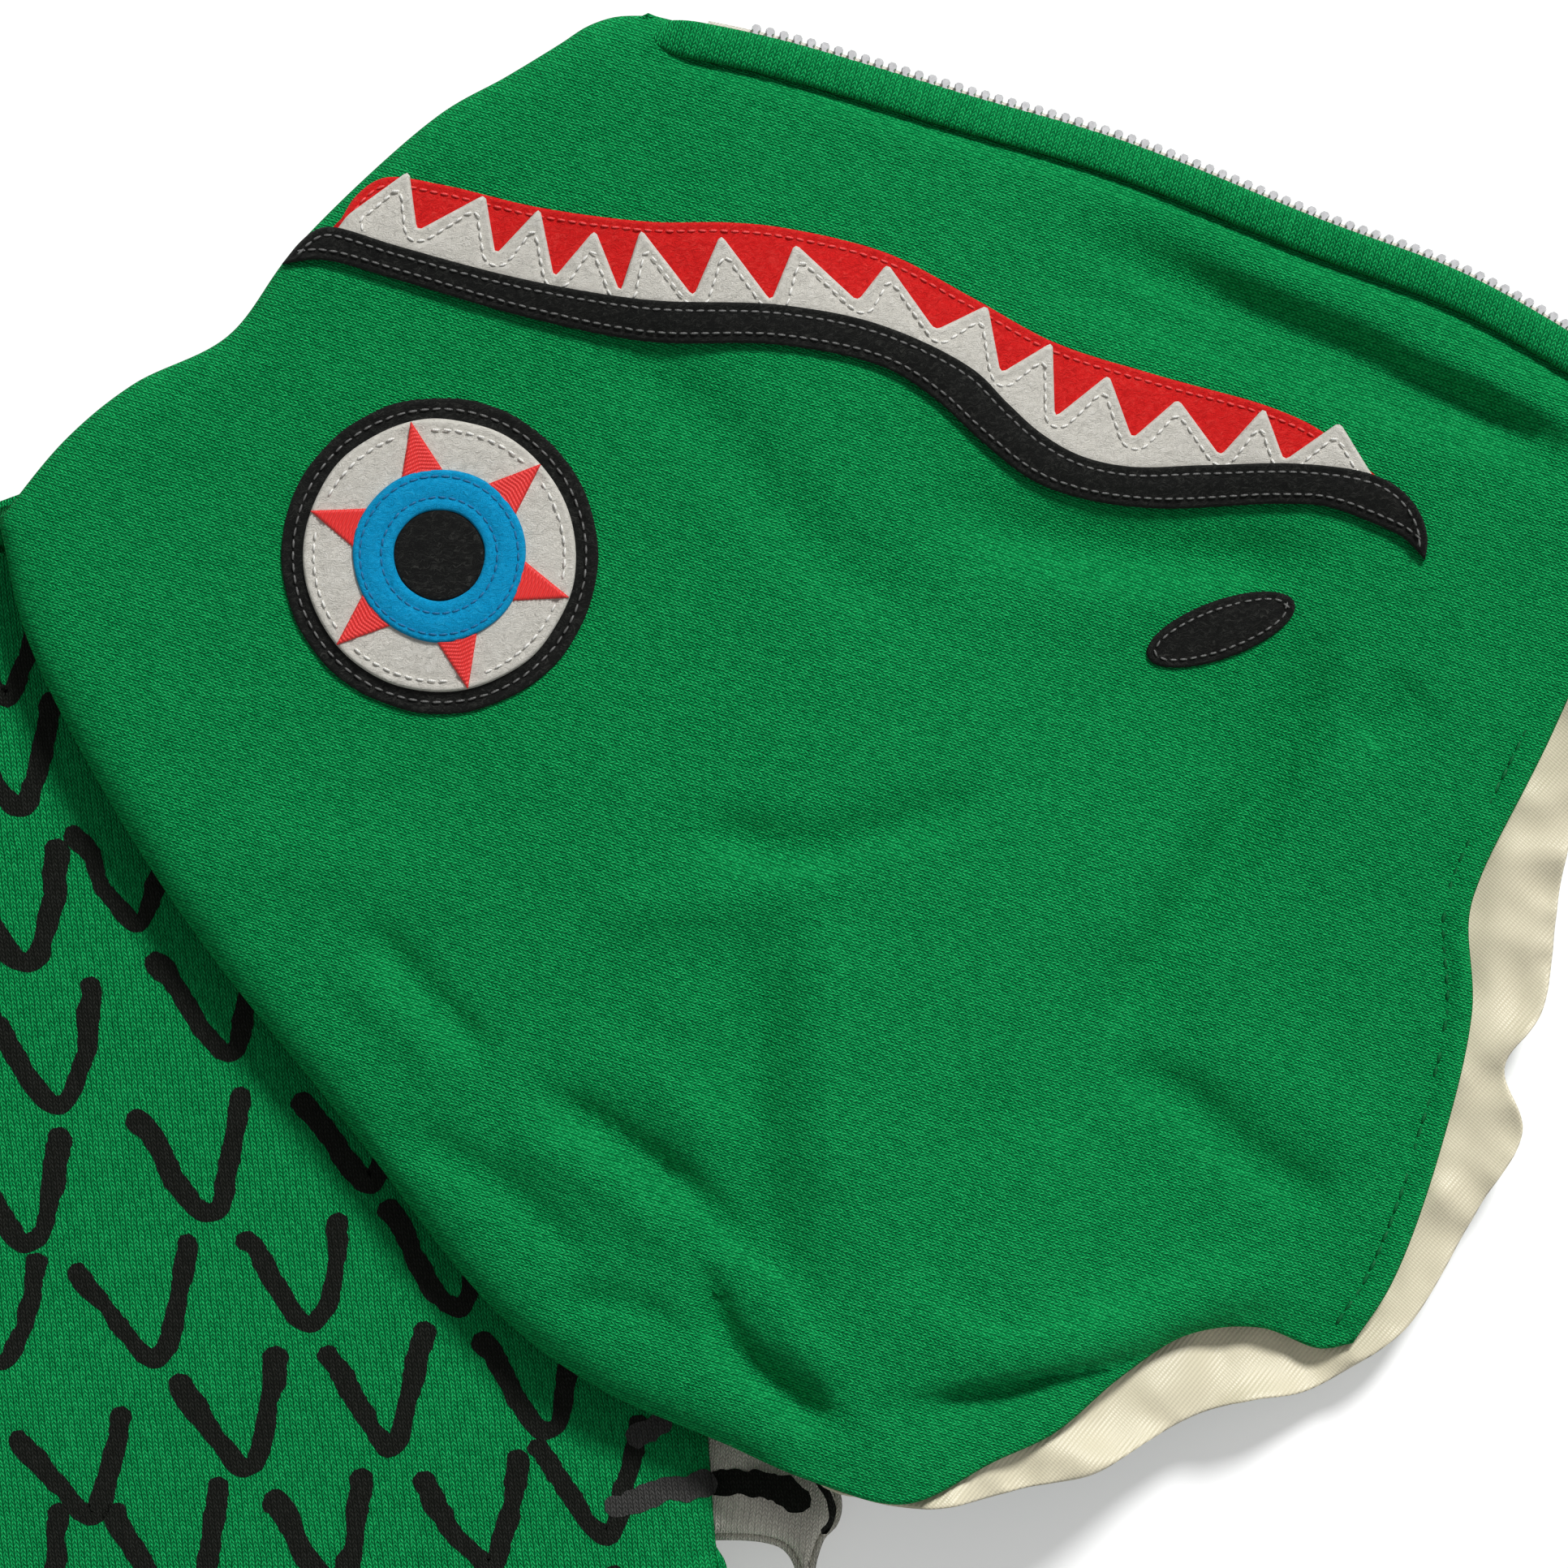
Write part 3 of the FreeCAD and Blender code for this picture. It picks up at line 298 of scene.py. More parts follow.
def folded(points):
    """Height of the hood's creases and ridges at points of the row's frame."""
    total = np.zeros(len(points))
    for line, half, rise in FOLDS:
        path = smooth(hood(line), 2.0)
        low, high = path.min(0) - 4 * half, path.max(0) + 4 * half
        near = ((points > low) & (points < high)).all(1)
        p = points[near]
        if not len(p):
            continue
        gap = p[:, None, :] - path[None]
        d2 = (gap * gap).sum(2)
        nearest = d2.argmin(1)
        along = nearest / (len(path) - 1)
        fade = ease(np.minimum(along, 1 - along) * 4 + 0.12)
        total[near] += FOLD_DEPTH * rise * fade * np.exp(-d2.min(1) / (half * half))
    return total


def overhang(points):
    """The fold above the roll: the cloth drops steeply past its line, and comes up again further down."""
    path = smooth(hood([(10, -88.6), (20, -89.4), (40, -86.4), (56, -84.2), (72, -81.0)]), 1.0)
    normal = normals_of(path)
    total = np.zeros(len(points))
    near = np.nonzero(distance(points, path) < 22)[0]
    if not len(near):
        return total
    gap = points[near][:, None, :] - path[None]
    nearest = (gap * gap).sum(2).argmin(1)
    below = -(gap[np.arange(len(near)), nearest] * normal[nearest]).sum(1)
    along = nearest / (len(path) - 1)
    fade = ease(along * 2.6) * ease((1 - along) * 5)
    total[near] = -5.2 * ease(below / 1.8 + 0.2) * np.exp(-np.maximum(below, 0) / 11) * fade
    total[near] += 1.2 * np.exp(-(((below + 3) / 3.5) ** 2)) * fade
    return total


def drop(points):
    """How far the hood has come down past the torso's edge."""
    x = points[:, 0] - CENTRE_X
    return HOOD_DROP * ease((x - BEND_START) / (BEND_END - BEND_START))


FOLD_REACH = 7.5


def rounded(d, reach):
    """1 well inside an edge, falling to 0 at it like a quarter circle."""
    t = np.clip(1 - d / reach, 0, 1)
    return np.sqrt(np.maximum(1 - t * t, 0))


def hood_cloth(points):
    """Top of the hood's upper half, without its edges' rounding."""
    sag = 2.6 * np.exp(-distance(points, np.concatenate([zip_edge, opening])) / 16)
    sag += 3.0 * np.exp(-distance(points, fold_bottom) / 26)
    shape = HOOD_TOP - drop(points) - sag + folded(points) + overhang(points)
    return shape + 0.7 * waves(points, 60, 3) + 0.16 * waves(points, 17, 5)


def hood_top(points):
    """Top of the hood's upper half."""
    d = distance(points, upper_folds)
    fall = HOOD_TOP - (HOOD_BASE + 8.0)
    return hood_cloth(points) - fall * (1 - rounded(d, FOLD_REACH))


def hood_under(points):
    """Underside of the hood's lower half."""
    d = distance(points, side_folds)
    rise = 5.0 * (1 - rounded(d, FOLD_REACH))
    return HOOD_BASE + 3.0 - drop(points) + rise + 0.25 * waves(points, 60, 9)


# ------------------------------------------------------------------ meshes


def mesh_object(name, points, faces, material, body, smooth_shade=True):
    """A mesh of millimetre points, riding on a body."""
    mesh = bpy.data.meshes.new(name)
    mesh.from_pydata((np.asarray(points) * MM).tolist(), [], [tuple(int(i) for i in f) for f in faces])
    mesh.update()
    if smooth_shade:
        mesh.polygons.foreach_set("use_smooth", [True] * len(mesh.polygons))
    piece = bpy.data.objects.new(name, mesh)
    bpy.context.scene.collection.objects.link(piece)
    mesh.materials.append(material)
    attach(piece, body)
    return piece


def signed_area(outline):
    """Area in square millimetres, negative for an outline that runs clockwise."""
    x, y = outline[:, 0], outline[:, 1]
    return 0.5 * (x * np.roll(y, -1) - np.roll(x, -1) * y).sum()


def triangulate(outline, spacing, rings=()):
    """Points and triangles that fill a closed outline, finer along its edge."""
    outline = outline[np.hypot(*(outline - np.roll(outline, 1, 0)).T) > 0.02]
    if signed_area(outline) < 0:
        outline = outline[::-1]
    around = np.concatenate([outline[-1:], outline, outline[:1]])
    inward = normals_of(around)[1:-1]
    chosen = [outline]
    for ring in rings:
        moved = outline + inward * ring
        keep = (distance(moved, outline, True) > ring * 0.93) & inside(moved, outline)
        chosen.append(moved[keep])
    edge = (rings[-1] if len(rings) else 0) + spacing * 0.55
    low, high = outline.min(0), outline.max(0)
    xs = np.arange(low[0], high[0], spacing)
    ys = np.arange(low[1], high[1], spacing * 0.866)
    grid = np.array([(x + (spacing / 2 if j % 2 else 0), y) for j, y in enumerate(ys) for x in xs])
    grid += np.random.default_rng(1).uniform(-0.04, 0.04, grid.shape) * spacing
    grid = grid[inside(grid, outline)]
    grid = grid[distance(grid, outline, True) > edge]
    chosen.append(grid)
    points = np.concatenate(chosen)
    count = len(outline)
    edges = [(k, (k + 1) % count) for k in range(count)]
    result = geometry.delaunay_2d_cdt([Vector(p) for p in points], edges, [], 1, 1e-6)
    flat = np.array([tuple(v) for v in result[0]])
    return flat, [tuple(f) for f in result[2]], outline


def closed_sheet(top, faces, thickness, down=None):
    """A cloth of that thickness under the given top points, closed round its rim."""
    faces = np.asarray(faces)
    a, b, c = (top[faces[:, k]] for k in range(3))
    n = np.cross(b - a, c - a)
    flip = n[:, 2] < 0
    faces[flip] = faces[flip][:, ::-1]
    n[flip] *= -1
    if down is None:
        vertex = np.zeros_like(top)
        for k in range(3):
            np.add.at(vertex, faces[:, k], n)
        vertex /= np.maximum(np.linalg.norm(vertex, axis=1), 1e-12)[:, None]
        bottom = top - vertex * thickness
    else:
        bottom = top.copy()
        bottom[:, 2] = down
    count = len(top)
    pairs = np.concatenate([faces[:, [0, 1]], faces[:, [1, 2]], faces[:, [2, 0]]])
    seen = dict.fromkeys(map(tuple, pairs.tolist()))
    rim = [(x, y) for x, y in seen if (y, x) not in seen]
    walls = [(y, x, x + count, y + count) for x, y in rim]
    upper = [tuple(f) for f in faces.tolist()]
    lower = [(c + count, b + count, a + count) for a, b, c in upper]
    return np.concatenate([top, bottom]), upper + lower + walls


def cloth(
    name, outline, height, material, body, slot, spacing=1.6, thickness=KNIT, rings=(0.35, 0.8, 1.6),
    edge=0.7, straight=False,
):
    """A sheet of knit: its top follows height(points), its open edge is rounded; straight puts its underside
    right below its top."""
    flat, faces, outline = triangulate(outline, spacing, rings)
    z = height(flat)
    d = distance(flat, outline, True)
    z = z - edge * (1 - rounded(d, max(edge, 0.01)))
    down = z - thickness if straight else None
    points, faces = closed_sheet(np.column_stack([flat, z]), faces, thickness, down)
    return mesh_object(name, points, faces, material, body)


def felt(name, outline, below, level, material, body, spacing=1.1, grooves=(), thickness=FELT, side=1):
    """A felt cut-out on the cloth: rounded edge, stitched grooves, and walls down to what is under it."""
    flat, faces, outline = triangulate(outline, spacing, (0.22, 0.5, 0.9))
    d = distance(flat, outline, True)
    high = level(flat) if callable(level) else np.full(len(flat), float(level))
    top = high + thickness * (0.35 + 0.65 * rounded(d, 0.65))
    for inset in grooves:
        top -= 0.5 * np.exp(-(((d - inset) / 0.45) ** 2))
    top += 0.05 * waves(flat, 3.0, 11)
    base = below(flat)
    points, faces = closed_sheet(np.column_stack([flat, base + side * top]), faces, 0, base - side * 0.15)
    if side < 0:
        faces = [f[::-1] for f in faces]
    return mesh_object(name, points, faces, material, body)


def bands(rows, around, closed=True, outwards=True):
    """Quads between rows of that many points each; closed rows come back to their first point."""
    faces = []
    for k in range(rows - 1):
        for i in range(around if closed else around - 1):
            j = (i + 1) % around
            quad = (k * around + i, k * around + j, (k + 1) * around + j, (k + 1) * around + i)
            faces.append(quad if outwards else (quad[0], quad[3], quad[2], quad[1]))
    return faces


def end_caps(rows, around, outwards=True):
    """The faces that close a tube's first and last row."""
    first, last = tuple(range(around)), tuple((rows - 1) * around + i for i in range(around))
    return [first[::-1], last] if outwards else [first, last[::-1]]


def sweep(line, section, height, reach=0.0):
    """A band along a line: section holds closed (across, up) pairs; the ends are rounded over that reach."""
    line = np.asarray(line)
    n = normals_of(line)
    run = run_of(line)
    fade = rounded(np.minimum(run, run[-1] - run), reach) + 0.02 if reach else np.ones(len(line))
    count, around = len(line), len(section)
    rows = []
    for across, up in section:
        p = line + n * (across * fade)[:, None]
        rows.append(np.column_stack([p, height(p) + up * fade]))
    return np.stack(rows, 1).reshape(-1, 3), bands(count, around) + end_caps(count, around)


def joined(parts):
    """Several (points, faces) as one."""
    points, faces, start = [], [], 0
    for p, f in parts:
        points.append(np.asarray(p))
        faces += [tuple(i + start for i in face) for face in f]
        start += len(p)
    return np.concatenate(points), faces


def capsule(length, width, thick, around=6, rings=5):
    """One stitch lying along x: a bar with round ends, sunk at both of them."""
    points = []
    for k in range(rings):
        t = k / (rings - 1)
        x = (t - 0.5) * length
        swell = math.sin(math.pi * (0.12 + 0.76 * t)) ** 0.5
        lift = 0.35 * thick * math.sin(math.pi * t)
        for j in range(around):
            turn = 2 * math.pi * j / around
            points.append((x, math.cos(turn) * width / 2 * swell, math.sin(turn) * thick / 2 * swell + lift))
    return np.array(points), bands(rings, around, outwards=False) + end_caps(rings, around, False)


def stitches(line, height, pitch, length, width, side=1, skip=None, closed=False):
    """A row of machine stitches along a line, lying on height(points)."""
    line = resample(np.concatenate([line, line[:1]]) if closed else line, pitch)
    shape, shape_faces = capsule(length, width, width * 0.8)
    direction = np.gradient(line, axis=0)
    angle = np.arctan2(direction[:, 1], direction[:, 0]) + rng.normal(0, 0.05, len(line))
    z = height(line)
    ahead = height(line + direction * 0.3)
    step = np.maximum(np.hypot(direction[:, 0], direction[:, 1]) * 0.3, 1e-6)
    slope = (ahead - z) / step
    parts = []
    for k, (x, y) in enumerate(line):
        if skip is not None and skip(line[k : k + 1])[0]:
            continue
        c, s = math.cos(angle[k]), math.sin(angle[k])
        u, v, w = shape.T
        points = np.column_stack([x + u * c - v * s, y + u * s + v * c, z[k] + slope[k] * u + side * w])
        parts.append((points, shape_faces))
    return parts


# The least width a cut's flat size takes, and the share of its bounding box under which a cut counts as a
# strip.
NARROWEST, STRIP = 10.0, 0.35


def cut_flat(outline):
    width, length = np.sort(np.maximum(np.ptp(outline, axis=0), NARROWEST)) * MM
    area = abs(signed_area(outline)) * MM * MM
    if area < STRIP * width * length:
        width = max(NARROWEST * MM, area / (0.8 * length))


def stand_in(node, outline):
    """The piece is shown for that CAD node, which is hidden; the outline's flat size is worked out and not
    kept.
    """
    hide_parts(node)
    cut_flat(outline)


# ------------------------------------------------------------------ materials


def node_material(name):
    material = bpy.data.materials.new(name)
    material.use_nodes = True
    tree = material.node_tree
    shader = tree.nodes["Principled BSDF"]
    return material, tree, shader


def maths(tree, operation, a, b=0.0, c=0.0):
    """The result of one Math node."""
    return add(tree, "ShaderNodeMath", operation=operation, inputs={0: a, 1: b, 2: c}).outputs[0]


def add_inputs(tree, node, values):
    for socket, v in values.items():
        if isinstance(v, bpy.types.NodeSocket):
            tree.links.new(v, node.inputs[socket])
        else:
            node.inputs[socket].default_value = v


def add(tree, kind, inputs=None, **values):
    """A node with its properties set, and its inputs set or linked."""
    node = tree.nodes.new(kind)
    for key, value in values.items():
        setattr(node, key, value)
    add_inputs(tree, node, inputs or {})
    return node


def local_mm(tree, turn=0.0):
    """The piece's own coordinates in millimetres, turned about Z."""
    coords = add(tree, "ShaderNodeTexCoord").outputs["Object"]
    mapping = add(tree, "ShaderNodeMapping", inputs={"Vector": coords})
    mapping.inputs["Rotation"].default_value = (0, 0, turn)
    mapping.inputs["Scale"].default_value = (1 / MM,) * 3
    return mapping.outputs[0]


def noise(tree, vector, scale, detail=3.0, rough=0.55):
    values = {"Vector": vector, "Scale": scale, "Detail": detail, "Roughness": rough}
    return add(tree, "ShaderNodeTexNoise", inputs=values).outputs["Fac"]


def colour_noise(tree, vector, scale):
    """Noise with its own value for each of X, Y and Z."""
    values = {"Vector": vector, "Scale": scale, "Detail": 2.0}
    return add(tree, "ShaderNodeTexNoise", inputs=values).outputs["Color"]


def vector_maths(tree, operation, *inputs):
    """The result of one Vector Math node."""
    values = dict(enumerate(inputs))
    return add(tree, "ShaderNodeVectorMath", operation=operation, inputs=values).outputs[0]


def ramp(tree, factor, stops):
    """A colour ramp through (place, colour) stops."""
    node = add(tree, "ShaderNodeValToRGB", inputs={"Fac": factor})
    while len(node.color_ramp.elements) < len(stops):
        node.color_ramp.elements.new(0.5)
    for element, (place, colour) in zip(node.color_ramp.elements, stops):
        element.position = place
        element.color = (*colour, 1)
    return node.outputs["Color"]


def two_tones(tree, wave, swing, colour, dark, light):
    """The colour, darker in a wave's troughs and lighter on its crests: painted shade in the grooves and a
    painted highlight on the ridges.
    """
    level = maths(tree, "MULTIPLY_ADD", wave, swing, 0.5)
    return ramp(tree, level, [(0.0, scaled(colour, dark)), (1.0, scaled(colour, light))])


def mix(tree, factor, a, b, blend="MIX"):
    node = add(tree, "ShaderNodeMix", data_type="RGBA", blend_type=blend)
    add_inputs(tree, node, {0: factor})
    for socket, value in ((6, a), (7, b)):
        if isinstance(value, bpy.types.NodeSocket):
            tree.links.new(value, node.inputs[socket])
        else:
            node.inputs[socket].default_value = (*value, 1)
    return node.outputs[2]


def bump(tree, shader, height, strength, reach_mm):
    values = {"Height": height, "Strength": strength, "Distance": reach_mm * MM}
    node = add(tree, "ShaderNodeBump", inputs=values)
    tree.links.new(node.outputs[0], shader.inputs["Normal"])


def look(tree, shader, tone, roughness, specular, sheen=None, sheen_roughness=None, tint=None):
    """Sets a cloth's colour, gloss and, where given, its sheen."""
    inputs = {"Base Color": tone, "Roughness": roughness, "Specular IOR Level": specular}
    inputs |= {"Sheen Weight": sheen} if sheen is not None else {}
    inputs |= {"Sheen Roughness": sheen_roughness, "Sheen Tint": (*tint, 1)} if tint is not None else {}
    add_inputs(tree, shader, inputs)


def scaled(colour, factor):
    return tuple(min(1.0, c * factor) for c in colour)


def knit_material(name, colour, turn=0.0, wale=0.86, course=0.66, contrast=0.9, depth=0.34, sheen=0.12):
    """Jersey seen from its face: columns of small Vs, two strands to a column, with a little fluff."""
    material, tree, shader = node_material(name)
    place = local_mm(tree, turn)
    centred = vector_maths(tree, "SUBTRACT", colour_noise(tree, place, 0.35), (0.5, 0.5, 0.5))
    shifted = vector_maths(tree, "MULTIPLY_ADD", centred, (0.5, 0.5, 0), place)
    split = add(tree, "ShaderNodeSeparateXYZ", inputs={0: shifted})
    across = maths(tree, "DIVIDE", split.outputs[0], wale)
    side = maths(tree, "ABSOLUTE", maths(tree, "MULTIPLY_ADD", maths(tree, "FRACT", across), 2.0, -1.0))
    strands = maths(tree, "MULTIPLY", across, 2.0)
    rim = maths(tree, "ABSOLUTE", maths(tree, "MULTIPLY_ADD", maths(tree, "FRACT", strands), 2.0, -1.0))
    along = maths(tree, "DIVIDE", split.outputs[1], course)
    shift = maths(tree, "MULTIPLY", maths(tree, "FLOOR", across), 0.16)
    course_at = maths(tree, "ADD", maths(tree, "MULTIPLY_ADD", side, 0.85, along), shift)
    leg = maths(tree, "FRACT", course_at)
    bead = maths(tree, "ABSOLUTE", maths(tree, "MULTIPLY_ADD", leg, 2.0, -1.0))
    cell = add(tree, "ShaderNodeCombineXYZ")
    tree.links.new(maths(tree, "FLOOR", strands), cell.inputs[0])
    tree.links.new(maths(tree, "FLOOR", course_at), cell.inputs[1])
    own = add(tree, "ShaderNodeTexWhiteNoise", inputs={"Vector": cell.outputs[0]}).outputs["Value"]
    deep = maths(tree, "MULTIPLY_ADD", side, 0.35, 0.65)
    gap = maths(tree, "MULTIPLY", maths(tree, "POWER", rim, 2.2), deep)
    strand = maths(tree, "SUBTRACT", 1.0, maths(tree, "MULTIPLY", maths(tree, "POWER", bead, 1.6), 0.75))
    height = maths(tree, "MULTIPLY", maths(tree, "SUBTRACT", 1.0, gap), strand)
    fluff = noise(tree, place, 2.6, 4.0, 0.7)
    lint = maths(tree, "MULTIPLY_ADD", maths(tree, "SUBTRACT", fluff, 0.5), 0.7, height)
    varied = maths(tree, "MULTIPLY_ADD", maths(tree, "SUBTRACT", own, 0.5), 0.34, lint)
    patch = noise(tree, place, 0.035, 3.0)
    # The colour follows the loops' height: painted shade in the gaps between strands and a painted highlight
    # on their crests, varied at random stitch by stitch.
    tone = ramp(
        tree,
        varied,
        [
            (0.02, scaled(colour, 1 - 0.75 * contrast)),
            (0.36, scaled(colour, 1 + 0.02 * contrast)),
            (0.7, scaled(colour, 1 + 0.6 * contrast)),
            (1.0, tuple(c * (1 + 1.25 * contrast) + 0.02 * contrast for c in colour)),
        ],
    )
    worn = maths(tree, "MULTIPLY", patch, 0.35)
    aged = mix(tree, worn, tone, mix(tree, 0.5, tone, scaled(colour, 1.15)))
    look(tree, shader, aged, 0.92, 0.06, sheen, 0.4, scaled(colour, 2.0))
    bump(tree, shader, lint, 1.0, depth)
    return material


def felt_material(name, colour, flecks, strength=0.35, sheen=0.12):
    """Pressed wool felt: matted fibres, lighter and darker flecks."""
    material, tree, shader = node_material(name)
    place = local_mm(tree)
    bent = vector_maths(tree, "MULTIPLY_ADD", colour_noise(tree, place, 0.8), (2.5, 2.5, 0), place)
    fibre = add(tree, "ShaderNodeMapping", inputs={"Vector": bent})
    fibre.inputs["Scale"].default_value = (0.5, 2.4, 1)
    strands = noise(tree, fibre.outputs[0], 1.6, 5.0, 0.75)
    lumps = noise(tree, place, 0.55, 4.0, 0.6)
    fine = noise(tree, place, 5.0, 3.0, 0.8)
    tone = ramp(tree, strands, [(0.32, scaled(colour, 0.6)), (0.5, colour), (0.68, flecks)])
    tone = mix(tree, maths(tree, "MULTIPLY", lumps, strength), tone, scaled(colour, 0.8))
    look(tree, shader, tone, 0.95, 0.15, sheen, 0.6, flecks)
    height = maths(tree, "ADD", maths(tree, "MULTIPLY", strands, 0.8), maths(tree, "MULTIPLY", fine, 0.6))
    bump(tree, shader, height, 0.8, 0.6)
    return material


def satin_material(name, colour, turn):
    """Polyester lining: fine twill lines, soft gloss."""
    material, tree, shader = node_material(name)
    place = local_mm(tree, turn)
    split = add(tree, "ShaderNodeSeparateXYZ", inputs={0: place})
    line = maths(tree, "SINE", maths(tree, "MULTIPLY", split.outputs[0], 2 * math.pi / 0.62))
    cross = maths(tree, "SINE", maths(tree, "MULTIPLY", split.outputs[1], 2 * math.pi / 0.4))
    weave = maths(tree, "MULTIPLY_ADD", cross, 0.35, line)
    cloudy = noise(tree, place, 0.06, 3.0)
    # The twill lines carry painted shade in their troughs and a painted highlight on their crests.
    tone = two_tones(tree, weave, 0.22, colour, 0.86, 1.05)
    tone = mix(tree, maths(tree, "MULTIPLY", cloudy, 0.35), tone, scaled(colour, 0.86))
    look(tree, shader, tone, 0.42, 0.45, 0.15)
    bump(tree, shader, weave, 0.35, 0.08)
    return material


def thread_material(name, colour, gloss=0.45):
    """Polyester sewing thread with its twist."""
    material, tree, shader = node_material(name)
    place = local_mm(tree, math.radians(30))
    split = add(tree, "ShaderNodeSeparateXYZ", inputs={0: place})
    twist = maths(tree, "SINE", maths(tree, "MULTIPLY", split.outputs[0], 2 * math.pi / 0.3))
    # Painted shade in the twist's grooves and a painted highlight on its ridges.
    tone = two_tones(tree, twist, 0.4, colour, 0.7, 1.1)
    look(tree, shader, tone, 0.55, gloss)
    bump(tree, shader, twist, 0.4, 0.05)
    return material


def metal_material(name, colour, rough):
    """Plated zip metal with faint wear."""
    material, tree, shader = node_material(name)
    place = local_mm(tree)
    marks = noise(tree, place, 1.3, 5.0, 0.7)
    tone = ramp(tree, marks, [(0.3, scaled(colour, 0.8)), (0.7, colour)])
    gloss = maths(tree, "MULTIPLY_ADD", marks, 0.25, rough)
    add_inputs(tree, shader, {"Base Color": tone, "Roughness": gloss, "Metallic": 1.0})
    bump(tree, shader, marks, 0.15, 0.1)
    return material


def tape_material(name, colour):
    """Woven zip tape, herringbone."""
    material, tree, shader = node_material(name)
    place = local_mm(tree)
    split = add(tree, "ShaderNodeSeparateXYZ", inputs={0: place})
    zig = maths(tree, "PINGPONG", split.outputs[0], 1.5)
    slant = maths(tree, "ADD", split.outputs[1], zig)
    line = maths(tree, "SINE", maths(tree, "MULTIPLY", slant, 2 * math.pi / 0.6))
    # Painted shade in the herringbone's grooves and a painted highlight on its ridges.
    tone = two_tones(tree, line, 0.4, colour, 0.75, 1.08)
    add_inputs(tree, shader, {"Base Color": tone, "Roughness": 0.85})
    bump(tree, shader, line, 0.5, 0.1)
    return material


GREEN = (0.0022, 0.232, 0.06)
ZIP_ANGLE = math.radians(-19) - HOOD_TURN
hood_knit = knit_material("hood_knit", GREEN, math.pi / 2 - ZIP_ANGLE)
body_knit = knit_material("body_knit", GREEN)
rib_knit = knit_material("rib_knit", scaled(GREEN, 0.9), 0.0, wale=3.8, depth=0.9)
welt_knit = knit_material("welt_knit", scaled(GREEN, 0.97), -ZIP_ANGLE)
cream_knit = knit_material("cream_knit", (0.82, 0.79, 0.69), 0.2, contrast=0.3)
ink = knit_material("printed_ink", (0.009, 0.010, 0.008), 0.0, contrast=0.5, depth=0.2, sheen=0.1)
# The ink on the green knit is painted lighter grey than on the cream: a painted sheen where the thick ink
# catches the light.
painted_sheen_ink = knit_material("painted_sheen_ink", (0.045, 0.045, 0.043), 0.0, contrast=0.5, depth=0.2, sheen=0.1)
black_felt = felt_material("black_felt", (0.006, 0.0065, 0.006), (0.05, 0.051, 0.046))
white_felt = felt_material("white_felt", (0.83, 0.80, 0.72), (0.94, 0.92, 0.86), 0.5)
red_felt = felt_material("red_felt", (0.84, 0.014, 0.014), (0.92, 0.06, 0.05))
blue_felt = felt_material("blue_felt", (0.001, 0.37, 0.74), (0.02, 0.47, 0.82))
satin = satin_material("cream_satin", (0.73, 0.67, 0.49), math.radians(48))
# The thread's green, darkened with painted shade so the stitch rows read as the dark dents they sit in.
green_thread = thread_material("green_thread", (0.002, 0.13, 0.036), 0.15)
# Dark grey rather than black: the thread's black lifted by a painted highlight, for the glint of its flecks.
black_thread = thread_material("black_thread", (0.06, 0.06, 0.057), 1.0)
white_thread = thread_material("white_thread", (0.84, 0.83, 0.78), 0.8)
red_thread = thread_material("red_thread", (0.82, 0.03, 0.028), 0.8)
blue_thread = thread_material("blue_thread", (0.002, 0.16, 0.36))
star_thread = thread_material("star_thread", (0.78, 0.018, 0.015), 0.6)
steel = metal_material("zip_steel", (0.62, 0.62, 0.63), 0.16)
tape = tape_material("zip_tape_weave", (0.66, 0.63, 0.54))

# each kind of cloth: its material, the body it rides on, and its slot
JERSEY = (body_knit, "torso", "green_knit")
RIB = (rib_knit, "torso", "green_rib")
CREAM = (cream_knit, "torso", "cream_knit")
HOOD_JERSEY = (hood_knit, "hood", "green_knit")
HOOD_SATIN = (satin, "hood", "cream_satin")

# ------------------------------------------------------------------ the hood


def near_edge(points):
    """Hem along the open edge: thicker outside its stitch line, with the stitches' groove."""
    d = distance(points, opening)
    bulge = 0.8 * np.exp(-(((d - 1.8) / 1.5) ** 2))
    groove = 1.2 * np.exp(-(((d - 3.8) / 0.8) ** 2))
    return bulge - groove


def seam_pull(points):
    """The cloth dips into the welt's seam, and stays down under the welt, which starts beyond the fold."""
    d = distance(points, zip_edge) - WELT
    welted = ease((distance(points, fold_top[-3:]) - 3) / 9)
    return -2.0 * welted * np.exp(-((np.maximum(d, 0) / 1.9) ** 2))


ROLL_LEVEL = 10.2


def upper_height(points):
    """Top of the upper half with its hem and seam; its lower roll lies over the lining."""
    free = hood_top(points) + near_edge(points) + seam_pull(points)
    roll = HOOD_BASE + ROLL_LEVEL - drop(points) - 9.0 * np.exp(-distance(points, side_folds) / 6)
    roll -= 0.9 * np.maximum(distance(points, lower_roll) - 6, 0)
    return (free + roll + np.sqrt((free - roll) ** 2 + 1.0)) / 2


def tucked_edge():
    """The upper half's edge along the zip: at the fold where it starts, then tucked in under the welt."""
    run = np.arange(len(zip_edge), dtype=float)
    return zip_edge - normals_of(zip_edge) * (0.2 + (WELT - 1.8) * ease(run / 12))[:, None]


